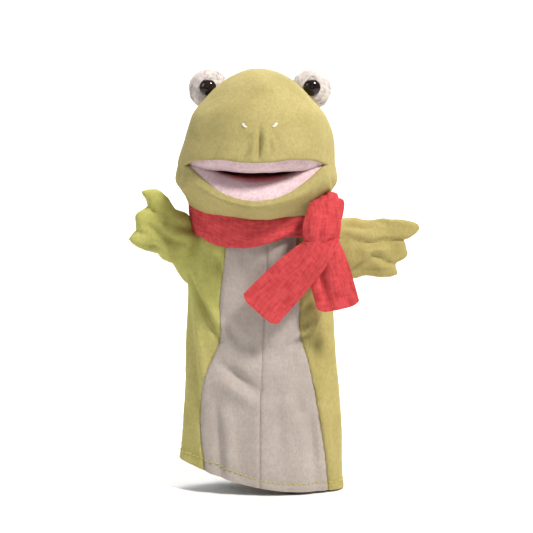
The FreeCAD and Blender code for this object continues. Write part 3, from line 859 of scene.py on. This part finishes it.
# the outline of each flat hand, in the arm's own frame: (height, how far out its edge is)
LEFT_HAND = [(-20.8, 37), (-19.6, 41.4), (-16, 41.2), (-12.6, 40), (-11, 40.4), (-9, 45), (-6.5, 48),
             (-3.5, 48.6), (-1, 47.4), (1.5, 47), (4, 46.4), (6.4, 47.2), (8, 51), (10.5, 54.8),
             (13.5, 56.2), (16.5, 55.4), (18.8, 51.6), (20.4, 45)]
RIGHT_HAND = [(-11.4, 38), (-10.2, 43.4), (-8, 44.2), (-5.6, 43.2), (-2, 42.4), (1.4, 43.2),
              (4, 45.4), (6, 46.6), (9, 47), (12, 46.2), (15.5, 44.4), (18.4, 44.4), (20.8, 48.6),
              (23.2, 53.2), (25.4, 53.8), (27.6, 51), (30.6, 42)]
# each arm's outline: (reach, middle height, half height)
LEFT_ARM = [(-20, 0, 25), (-6, 0, 23), (0, 0, 22.3), (9, 0, 21.3), (21, 0, 20.8), (34, 0, 20.4),
            (38, 0, 18.5)]
RIGHT_ARM = [(-20, 0, 22), (-6, 2, 17.5), (0, 4, 16), (9, 5.2, 17), (21, 7, 18.2), (34, 8.8, 19.6),
             (38, 9.4, 19)]


def hand_slab(outline):
    """The flat hand: a thin pad whose outer edge has three short round fingers."""
    height = np.linspace(outline[0][0], outline[-1][0], 60)
    tip = through(height, outline)
    root = 20 + 3.3 * np.maximum(height - 25, 0)
    middle = (outline[0][0] + outline[-1][0]) / 2
    share = np.abs(height - middle) / (outline[-1][0] - middle + 0.4)
    depth = 4.5 * np.sqrt(np.clip(1 - share**8, 0.04, 1))
    turn = np.linspace(0, 2 * np.pi, 40, endpoint=False)
    bulge = np.sign(np.sin(turn)) * np.abs(np.sin(turn)) ** 0.5
    return [np.column_stack([(r + t) / 2 + (t - r) / 2 * np.cos(turn), d * bulge, np.full(40, h)])
            for h, r, t, d in zip(height, root, tip, depth)]


def arm_forms(turn, start, arm, outline):
    """An arm and its flat hand; turn and start place the local form."""
    reach = np.linspace(-20, 38, 40)
    middle = through(reach, [(a, b) for a, b, c in arm])
    height = through(reach, [(a, c) for a, b, c in arm])
    depth = through(reach, [(-20, 22), (-6, 16.5), (0, 14.8), (9, 13.2), (21, 10.8), (34, 5.2),
                            (38, 3.6)])
    rings = []
    for x, m, h, d in zip(reach, middle, height, depth):
        flat = oval(d, h, 48)
        rings.append(np.column_stack([np.full(48, x), -flat[:, 0], m - flat[:, 1]]))
    return [ring_solid("arm_form", np.array(rings) @ turn.T + start),
            ring_solid("hand_form", np.array(hand_slab(outline)) @ turn.T + start)]


def local_left(points):
    return points - SHOULDER


def local_right(points):
    return (points - SHOULDER * (-1, 1, 1)) @ RIGHT_TURN


FRONT_FOLDS = (
    # x0, z0, x1, z1, width, height
    (-50, 142, -28, 96, 2.4, -2.0), (-45, 140, -24, 100, 3.2, 1.4), (-30, 156, -28, 143, 2.6, -1.8),
    (-37, 153, -40, 128, 3.0, 1.5), (-51, 130, -43, 38, 3.4, -1.5), (-46, 118, -38, 60, 3.6, 1.0),
    (-27, 80, -3, 62, 3.4, -1.5), (-30, 70, -2, 52, 6.0, 1.3), (-20, 96, 20, 84, 8.0, -1.2),
    (-24, 112, -14, 92, 4.4, -0.8), (21, 92, 32, 101, 2.0, -1.3), (22, 98, 36, 108, 2.6, 0.9),
    (-31, 54, -27, -4, 3.4, -1.2), (-22, 40, -20, 0, 4.0, 0.9), (36, 60, 40, -8, 3.4, -1.4),
    (44, 70, 50, -4, 3.8, 1.1), (50, 136, 30, 118, 3.0, -1.4), (52, 128, 36, 100, 3.0, 0.9),
    (12, 60, 16, 4, 4.4, -0.7), (26, 58, 33, 34, 5.0, -1.4), (44, 112, 38, 80, 3.0, -1.2),
)
BACK_FOLDS = (
    (-48, 148, -20, 112, 3.2, -1.9), (-44, 138, -18, 98, 3.6, 1.2), (48, 148, 20, 108, 3.2, -1.8),
    (46, 134, 24, 92, 3.6, 1.1), (-14, 158, -8, 60, 4.0, -1.0), (10, 152, 14, 70, 4.2, 1.0),
    (-36, 74, -40, -6, 4.2, -1.5), (-24, 60, -26, 0, 4.6, 1.0), (30, 66, 38, -6, 4.2, -1.5),
    (20, 54, 24, 2, 4.6, 1.0), (0, 44, 3, -4, 4.6, -0.8),
)
ARM_FOLDS = (
    # in the arm's own x and z
    (2, 17, 20, 15, 2.2, -1.5), (4, 11, 22, 10, 2.6, 1.0), (4, -17, 20, -8, 2.4, -1.3),
    (8, -10, 26, 0, 2.6, 0.9), (20, 4, 40, 5, 2.0, -1.5), (22, -4, 36, -11, 2.0, -1.5),
    (26, 10, 42, 7, 1.6, 1.0), (14, -2, 38, 0, 2.4, 1.2), (28, 18, 46, 14, 1.8, -1.2),
    (10, 6, 24, 2, 2.2, -1.2), (28, -14, 40, -10, 1.8, 0.9), (12, -16, 30, -15, 2.0, -0.9),
)
HAND_CREASES = {
    "left": ((32, -10.4, 42, -11.4, 1.3, -2.2), (38, 5.6, 49, 5.0, 1.3, -2.4)),
    "right": ((34, -1, 44, -2, 1.3, -2.0), (34, 15, 46, 17.4, 1.3, -2.4)),
}


def cloth_relief(points):
    """Outward displacement of the sleeve and the arms: folds, seams and the turned hem."""
    x, y, z = points.T
    front = smooth(-y, -4, 6)
    body = 1 - smooth(np.abs(x), 50, 58)
    relief = body * (front * fold_height(x, z, FRONT_FOLDS)
                     + (1 - front) * fold_height(x, z, BACK_FOLDS)) * 2.2
    relief += body * (1.9 * noise(points, (20, 26, 70), 60) + 0.8 * noise(points, (9, 12, 30), 61))
    for local, word in ((local_left(points), "left"), (local_right(points), "right")):
        reach = local[:, 0]
        arm = smooth(reach, -6, 4) * (np.abs(local[:, 1]) < 24) * (np.abs(local[:, 2]) < 34)
        thin = 1.7 - 1.0 * smooth(reach, 26, 38)
        relief += arm * thin * fold_height(reach, local[:, 2], ARM_FOLDS)
        relief += arm * 0.7 * fold_height(reach, local[:, 2], HAND_CREASES[word])
        relief += arm * thin * (1.1 * noise(local, (12, 18, 9), 62) + 0.4 * noise(local, 5, 63))
    relief += 0.16 * noise(points, 4, 64)
    hem = z - hem_height(x, y)
    relief += 0.45 * (1 - smooth(hem, 4.6, 6.6)) - 0.5 * np.exp(-((hem - HEM_DEPTH) ** 2))
    for table in (BELLY_LEFT, BELLY_RIGHT, CENTRE_SEAM):
        away = np.abs(x - through(z, table))
        depth = 0.5 if table is CENTRE_SEAM else 0.9
        pucker = 1 + 0.35 * noise(points, (30, 30, 6), 65)
        relief -= depth * pucker * np.exp(-((away / 1.5) ** 2)) * (y < 0) * (z < 170)
    return relief


def hem_height(x, y):
    """The sleeve's lower edge: it hangs lower on the puppet's left, and sags in front."""
    return -np.tan(HEM_TILT) * x - 6.0 * np.clip(-y / 30, 0, 1) * (1 - (x / 60) ** 2)


def remeshed(obj, voxel, smoothing):
    remesh = obj.modifiers.new("cloth", "REMESH")
    remesh.mode = "VOXEL"
    remesh.voxel_size = voxel * MM
    ease = obj.modifiers.new("ease", "SMOOTH")
    ease.iterations = smoothing
    ease.factor = 0.5
    return apply_modifiers(obj)


def soften_armpits(obj):
    """Rounds the cloth where each arm runs out of the sleeve."""
    points = points_of(obj)
    near = np.zeros(len(points))
    for local in (local_left(points), local_right(points)):
        near = np.maximum(near, np.exp(-(((local[:, 0] + 7) / 9) ** 2)) * (np.abs(local[:, 2]) < 40))
    group = obj.vertex_groups.new(name="armpit")
    for weight in np.unique(np.round(near, 1)):
        if weight > 0:
            group.add(np.nonzero(np.round(near, 1) == weight)[0].tolist(), float(weight), "REPLACE")
    ease = obj.modifiers.new("ease", "SMOOTH")
    ease.iterations = 26
    ease.factor = 0.5
    ease.vertex_group = "armpit"
    apply_modifiers(obj)
    obj.vertex_groups.clear()
    return obj


def cut_surface(bm, place, normal, where=None, warp=None):
    """Cuts edges into the mesh along a plane, or along the curved surface that `warp` flattens.

    where(centre) picks the faces to cut; warp(points) gives the shift to take off, in mm.
    """
    co = np.array([v.co for v in bm.verts])
    if warp:
        for v, shift in zip(bm.verts, warp(co / MM) * MM):
            v.co -= Vector(shift)
    faces = [f for f in bm.faces if where is None or where(f.calc_center_median() / MM)]
    edges = {e for f in faces for e in f.edges}
    verts = {v for f in faces for v in f.verts}
    bmesh.ops.bisect_plane(bm, geom=list(verts) + list(edges) + faces, dist=0.00002,
                           plane_co=Vector(place) * MM, plane_no=Vector(normal))
    if warp:
        co = np.array([v.co for v in bm.verts])
        for v, shift in zip(bm.verts, warp(co / MM) * MM):
            v.co += Vector(shift)


def along_x(table):
    """The warp that flattens a seam whose x depends on its height."""
    return lambda points: through(points[:, 2], table)[:, None] * np.array([1.0, 0, 0])


def hem_warp(points):
    return hem_height(points[:, 0], points[:, 1])[:, None] * np.array([0, 0, 1.0])


def sink_seams(bm):
    """Draws the cloth in along the seams that the panels share."""
    bm.normal_update()
    moved = []
    for v in bm.verts:
        x, y, z = v.co / MM
        if y > 0.01 or z > 168:
            continue
        for table, depth in SEAMS:
            if abs(x - float(through(np.array([z]), table)[0])) < 0.05:
                moved.append((v, v.normal * depth * MM))
    for v, shift in moved:
        v.co -= shift


def split_piece(bm, name, wanted):
    """A new object of the faces whose centres `wanted` accepts."""
    part = bm.copy()
    centres = np.array([f.calc_center_median() for f in part.faces]) / MM
    chosen = wanted(centres)
    doomed = [f for f, keep in zip(part.faces, chosen) if not keep]
    bmesh.ops.delete(part, geom=doomed, context="FACES")
    mesh = bpy.data.meshes.new(name)
    part.to_mesh(mesh)
    part.free()
    return smooth_object(name, mesh)


def build_sleeve():
    left_forms = arm_forms(np.eye(3), SHOULDER, LEFT_ARM, LEFT_HAND)
    right_forms = arm_forms(RIGHT_TURN, SHOULDER * (-1, 1, 1), RIGHT_ARM, RIGHT_HAND)
    cloth = join("cloth", [body_form(), *left_forms, *right_forms])
    remeshed(cloth, 1.6, 4)
    soften_armpits(cloth)
    points = points_of(cloth)
    set_points(cloth, points + normals_of(cloth) * cloth_relief(points)[:, None])

    bm = bmesh.new()
    bm.from_mesh(cloth.data)
    cut_surface(bm, (0, 0, 0), (0, 0, 1), warp=hem_warp)
    cut_surface(bm, (0, 0, NECK_TOP), (0, 0, 1), lambda c: abs(c.x) < 44 and c.z > 170)
    centres = np.array([f.calc_center_median() for f in bm.faces]) / MM
    outside = (centres[:, 2] < hem_height(centres[:, 0], centres[:, 1])) | (
        (centres[:, 2] > NECK_TOP) & (np.abs(centres[:, 0]) < 44))
    bmesh.ops.delete(bm, geom=[f for f, out in zip(bm.faces, outside) if out], context="FACES")
    cut_surface(bm, (0, 0, 0), (0, 1, 0))
    elbow_left = SHOULDER + (UPPER_ARM, 0, 0)
    elbow_right = SHOULDER * (-1, 1, 1) + UPPER_ARM * RIGHT_OUT
    for side in (1, -1):
        cut_surface(bm, (side * ARMHOLE, 0, 0), (1, 0, 0),
                    lambda c: c.x * side > 40 and c.z > ARMPIT - 4)
        cut_surface(bm, (0, 0, ARMPIT), (0, 0, 1), lambda c: c.x * side > ARMHOLE - 4)
    cut_surface(bm, elbow_left, (1, 0, 0), lambda c: c.x > 60)
    cut_surface(bm, elbow_right, RIGHT_OUT, lambda c: c.x < -ARMHOLE - 2)
    for table in (BELLY_LEFT, BELLY_RIGHT, CENTRE_SEAM):
        cut_surface(bm, (0, 0, 0), (1, 0, 0), lambda c: c.y < 0, along_x(table))

    sink_seams(bm)

    def in_arm(c, side):
        return (c[:, 0] * side > ARMHOLE) & (c[:, 2] > ARMPIT)

    def in_body(c):
        return ~in_arm(c, 1) & ~in_arm(c, -1)

    def limit(c, table):
        return through(c[:, 2], table)

    def front(c, low=None, high=None):
        """The front of the body, between two seams."""
        inside = in_body(c) & (c[:, 1] < 0)
        if low:
            inside &= c[:, 0] > limit(c, low)
        return inside & (c[:, 0] < limit(c, high)) if high else inside

    pieces = {
        "back_panel": lambda c: in_body(c) & ~(c[:, 1] < 0),
        "side_panel_left": lambda c: front(c, low=BELLY_LEFT),
        "side_panel_right": lambda c: front(c, high=BELLY_RIGHT),
        "belly_panel_left": lambda c: front(c, CENTRE_SEAM, BELLY_LEFT),
        "belly_panel_right": lambda c: front(c, BELLY_RIGHT, CENTRE_SEAM),
    }
    tree = BVHTree.FromBMesh(bm)
    for name, wanted in pieces.items():
        piece = thicken(split_piece(bm, f"{name}_cloth", wanted), 1.1)
        belly = name.startswith("belly")
        side = cloth_lime if name.endswith("right") else cloth_khaki
        finish_piece(piece, cloth_belly if belly else side,
                     "sleeve", replaces=(name,))
    for side, word, elbow, axis in ((1, "left", elbow_left, np.array([1.0, 0, 0])),
                                    (-1, "right", elbow_right, RIGHT_OUT)):
        beyond = lambda c: in_arm(c, side) & ((c - elbow) @ axis > 0)
        cloth_arm = cloth_lime if word == "right" else cloth_khaki
        upper = thicken(split_piece(bm, f"upper_arm_{word}_cloth",
                                    lambda c: in_arm(c, side) & ~beyond(c)), 1.1)
        finish_piece(upper, cloth_arm,
                     blend=("sleeve", f"upper_arm_{word}", (side * (ARMHOLE + 1), 0, 160),
                            (side * (ARMHOLE + 13), 0, 160)),
                     replaces=(f"upper_arm_front_{word}", f"upper_arm_back_{word}"))
        fore = thicken(split_piece(bm, f"forearm_{word}_cloth", beyond), 1.1)
        finish_piece(fore, cloth_arm,
                     blend=(f"upper_arm_{word}", f"forearm_{word}", elbow + 0.2 * axis,
                            elbow + 8 * axis),
                     replaces=(f"forearm_front_{word}", f"forearm_back_{word}", f"hand_{word}"))
    bm.free()
    discard(cloth)
    build_hem_stitches(tree)


def build_hem_stitches(tree):
    stitches = []
    count = 76
    for k in range(count):
        path = []
        for t in np.linspace(-0.34, 0.34, 5):
            turn = 2 * math.pi * (k + t) / count
            x, y = 80 * math.sin(turn), -60 * math.cos(turn)
            z = hem_height(x * 0.71, y * 0.5) + HEM_DEPTH
            lift = 0.35 if abs(t) < 0.3 else -0.25
            path.append(drop_on(tree, (x, y, z), (-x, -y, 0), lift))
        stitches.append(thread(f"stitch_{k}", path, 0.42, 5))
    row = join("hem_stitch_row", stitches)
    finish_piece(row, thread_hem, "sleeve", replaces=("hem_stitching",))


# ---------------------------------------------------------------- scarf

STRIP_WIDTH = 31
NECK_REACH = 48


def crinkled(points, amplitude, seed, across=4.5):
    """Adds the pleats of crinkled gauze to a strip; columns run along it, rows across it."""
    normal = grid_normals(points)
    along = np.cumsum(np.linalg.norm(np.diff(points, axis=1, prepend=points[:, :1]), axis=2), 1)
    over = np.cumsum(np.linalg.norm(np.diff(points, axis=0, prepend=points[:1]), axis=2), 0)
    flat = np.stack([along, over, 0 * along], -1)
    relief = (
        amplitude * noise(flat, (34, across, 1), seed)
        + 0.5 * amplitude * noise(flat, (13, across * 0.55, 1), seed + 1)
        + 0.45 * amplitude * noise(flat, (5, 9, 1), seed + 2)
    )
    return points + normal * relief[..., None]


def scarf_wrap():
    """The strip once round the neck, as a soft cowl with its edges rolled under."""
    azimuth = np.linspace(-180, 180, 400, endpoint=False)
    turn = np.radians(azimuth)
    bottom = through(azimuth, [(-180, 164), (-120, 166), (-95, 170), (-70, 168), (-52, 163.5),
                               (-32, 161.6), (-10, 162), (8, 165), (30, 168.6), (60, 168),
                               (110, 166), (180, 164)])
    top = through(azimuth, [(-180, 190), (-120, 194), (-90, 198), (-70, 197.5), (-50, 193),
                            (-28, 187.5), (0, 184), (30, 186.5), (60, 190), (110, 192),
                            (180, 190)])
    width = through(azimuth, [(-180, 47), (-120, 47.5), (-90, 48.4), (-60, 48.4), (-30, 49.4),
                              (0, 50), (45, 48.5), (90, 48), (140, 47.5), (180, 47)])
    height = top - bottom
    # the strip's section, from the tucked inner top edge, over the top, down, and under
    share = np.linspace(0, 1, 56)
    out = through(share, [(0, -9.5), (0.1, -5.0), (0.2, -1.2), (0.34, 1.2), (0.55, 1.6),
                          (0.72, 1.2), (0.84, -0.4), (0.93, -3.0), (1, -5.6)])
    rise = through(share, [(0, 0.86), (0.1, 0.98), (0.2, 0.96), (0.34, 0.8), (0.55, 0.5),
                           (0.72, 0.22), (0.84, 0.05), (0.93, 0.02), (1, 0.1)])
    lean = 3.0 * (rise[:, None] - 0.4)
    side = 1 - 0.14 * np.cos(turn) ** 2
    radius = (width * side)[None, :] + out[:, None] + lean * np.abs(np.sin(turn))[None, :]
    z = bottom + height * rise[:, None]
    points = np.stack([radius * np.sin(turn), -radius * np.cos(turn) * 0.97 + 0 * z, z], -1)
    normal = grid_normals(points, True)
    wrapped = np.stack([np.sin(turn) * NECK_REACH + 0 * z, np.cos(turn) * NECK_REACH + 0 * z,
                        share[:, None] * STRIP_WIDTH + 0.12 * turn * NECK_REACH], -1)
    relief = (
        1.9 * noise(wrapped, (26, 26, 7.5), 80) + 0.9 * noise(wrapped, (14, 14, 4.0), 81)
        + 0.3 * noise(wrapped, (4, 4, 6), 82)
    )
    inner = smooth(share, 0.02, 0.2)[:, None] * smooth(1 - share, 0.02, 0.14)[:, None]
    return points + normal * (relief * (0.3 + 0.7 * inner))[..., None]


def strip(path, widths, across_vectors, pleats, amplitude, seed, crown=0.0, rows=44):
    """A strip of cloth along a path of points, gathered to `widths`, in lengthwise pleats.

    crown is how far its middle stands out beyond its edges.
    """
    path, widths = np.array(path, float), np.array(widths, float)
    t = np.linspace(0, 1, len(path))
    fine = np.linspace(0, 1, 110)
    line = np.stack([through(fine, list(zip(t, path[:, k]))) for k in range(3)], -1)
    across = np.stack([through(fine, list(zip(t, np.array(across_vectors, float)[:, k])))
                       for k in range(3)], -1)
    across /= np.linalg.norm(across, axis=1, keepdims=True)
    width = through(fine, list(zip(t, widths)))
    v = np.linspace(0.5, -0.5, rows)
    points = line[None] + v[:, None, None] * width[None, :, None] * across[None]
    # the corners of a free end are rounded, and its edges curl a little
    rounded = 3.2 * np.abs(2 * v[:, None]) ** 5 * smooth(fine, 0.86, 1.0)[None]
    onward = np.gradient(line, axis=0)[None]
    points -= rounded[..., None] * onward / np.linalg.norm(onward, axis=2)[..., None]
    normal = grid_normals(points)
    points += normal * (crown * (1 - (2 * v) ** 2) - 1.1 * np.abs(2 * v) ** 6)[:, None, None]
    deep = through(fine, list(zip(t, pleats)))
    fabric = np.stack([fine[None] * 60 + 0 * v[:, None], v[:, None] * width[None], 0 * points[..., 0]],
                      -1)
    relief = deep[None] * 1.4 * noise(fabric, (40, 6.5, 1), seed)
    return crinkled(points + normal * relief[..., None], amplitude, seed)


def build_scarf():
    wrap = grid_object("scarf_wrap_cloth", scarf_wrap(), True)
    thicken(wrap, 0.9)
    finish_piece(wrap, gauze_red,
                 blend=("sleeve", "neck_gusset", (0, 0, 160), (0, 0, 190)),
                 replaces=("scarf_wrap",))

    knot = strip(
        [(43, -21, 187), (44, -31, 196), (44, -41, 197), (43.5, -46.5, 189), (42.5, -48.5, 179),
         (42, -47.5, 170), (42, -42.5, 165)],
        [15, 17, 19.5, 24, 26, 24.5, 20],
        [(1, 0.25, 0.35), (1, 0.25, 0.35), (1, 0.25, 0.3), (1, 0.2, 0.15), (1, 0.2, 0),
         (1, 0.2, 0), (1, 0.2, 0)],
        [0.9, 1.3, 1.8, 2.0, 2.0, 2.2, 1.4], 0.7, 90, crown=1.4)
    loop = strip(
        [(46, -27, 188), (49.5, -31, 194), (51.5, -36, 195), (52, -40, 190), (51, -41.5, 182),
         (48, -41, 176)],
        [6, 9, 11, 12, 11, 8], [(0.8, -0.5, 0.3)] * 6, [0.6, 0.8, 1.0, 1.0, 0.8, 0.6], 0.4, 95,
        crown=1.5, rows=24)
    for name, cloth, replaced in (("scarf_knot_cloth", knot, ("scarf_knot",)),
                                  ("scarf_knot_loop_cloth", loop, ())):
        piece = thicken(grid_object(name, cloth), 1.2)
        finish_piece(piece, gauze_red,
                     blend=("sleeve", "neck_gusset", (0, 0, 160), (0, 0, 190)), replaces=replaced)
    long_across = (0.75, 0, -0.66)
    long_tail = strip(
        [(49, -44.5, 172), (43, -48.5, 165.5), (35, -48, 157), (22.5, -45.5, 144), (8.5, -43.5, 129.5),
         (-1.5, -43, 118.5)],
        [13, 18, 24, 28.5, 31, 31.5], [(1, 0, -0.3), (0.9, 0, -0.5)] + [long_across] * 4,
        [2.4, 2.8, 2.2, 1.3, 0.9, 0.7], 0.8, 100)
    short_tail = strip(
        [(44, -40, 168), (45, -41.5, 158), (47.5, -41, 146), (51, -39.5, 133), (54.4, -38.5, 120)],
        [18, 25, 29, 29.5, 29.5], [(1, 0, 0.2)] * 5, [2.4, 2.2, 1.5, 1.0, 0.8], 0.85, 110)
    for name, cloth, length in (("scarf_tail_long", long_tail, 0.085),
                                ("scarf_tail_short", short_tail, 0.055)):
        tail = thicken(grid_object(f"{name}_cloth", cloth), 1.1)
        finish_piece(tail, gauze_red,
                     blend=("sleeve", name, (0, 0, 163), (0, 0, 149)), replaces=(name,))


# ---------------------------------------------------------------- hidden pieces


def finish_hidden_nodes():
    """Materials for the pockets, washers and shanks that stay as the frame has them."""
    for entry in frame["record"]["subparts"]:
        node = frame["nodes"][entry["node"]]
        if not node.hide_render and entry["material_slot"] in FINISHES:
            node.data.materials.clear()
            node.data.materials.append(FINISHES[entry["material_slot"]])


# ---------------------------------------------------------------- stage, light, camera


def build_stage():
    """A paper sweep, four soft lamps and the camera; the lamps' places are in metres."""
    front, back, bend, top = -4000, 900, 350, 2500
    turn = np.linspace(0, np.pi / 2, 16)
    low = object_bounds()[0][2] / MM - 0.6
    profile = [(front, 0)] + [
        (back + bend * math.sin(t), bend - bend * math.cos(t)) for t in turn
    ] + [(back + bend, top)]
    points = np.array([[(x, y, low + z) for x in (-2500, 0, 2500)] for y, z in profile])
    floor = grid_object("studio_floor", points)
    s = Shader("studio_paper", Roughness=0.9, Specular_IOR_Level=0.1)
    grain = s.noise(s.node("TexCoord", output="Object"), 400.0, 2.0)
    s.link(s.ramp(grain, (0.3, (0.81, 0.81, 0.81, 1)), (0.7, (0.83, 0.83, 0.83, 1))), "Base Color")
    floor.data.materials.append(s.material)

    world = bpy.data.worlds.new("studio")
    bpy.context.scene.world = world
    world.use_nodes = True
    background = world.node_tree.nodes["Background"]
    background.inputs["Color"].default_value = (0.98, 0.985, 1.0, 1)
    background.inputs["Strength"].default_value = 0.22

    for name, place, power, width, colour in (
        ("key", (0.76, -0.82, 1.36), 37.0, 0.35, (1.0, 0.975, 0.935)),
        ("fill", (-1.0, -0.55, 0.75), 5.0, 0.8, (0.97, 0.98, 1.0)),
        ("rim", (0.5, 0.9, 0.8), 5.0, 0.6, (1.0, 0.98, 0.94)),
        ("backdrop", (0.0, 0.75, 1.6), 24.0, 1.2, (1.0, 1.0, 1.0)),
    ):
        lamp = bpy.data.lights.new(name, "AREA")
        lamp.energy = power
        lamp.size = width
        lamp.color = colour
        lamp.shape = "DISK"
        lamp_obj = linked(name, lamp)
        lamp_obj.location = place
        target = Vector((0, 1.5, 0.3)) if name == "backdrop" else Vector((0, 0, 0.15))
        aim = target - lamp_obj.location
        lamp_obj.rotation_euler = aim.to_track_quat("-Z", "Y").to_euler()

    camera_data = bpy.data.cameras.new("camera")
    camera_data.lens = 115
    camera_data.sensor_width = 36
    camera = linked("camera", camera_data)
    camera.location = (0.0046, -1.2, 0.245)
    aim = Vector((0.0046, 0, 0.1466)) - camera.location
    camera.rotation_euler = aim.to_track_quat("-Z", "Y").to_euler()
    bpy.context.scene.camera = camera
    bpy.context.scene.view_settings.view_transform = "Standard"


build_head()
build_neck()
build_eyes()
build_nostrils(bpy.data.objects["head_skin"])
build_sleeve()
build_scarf()
finish_hidden_nodes()
build_stage()
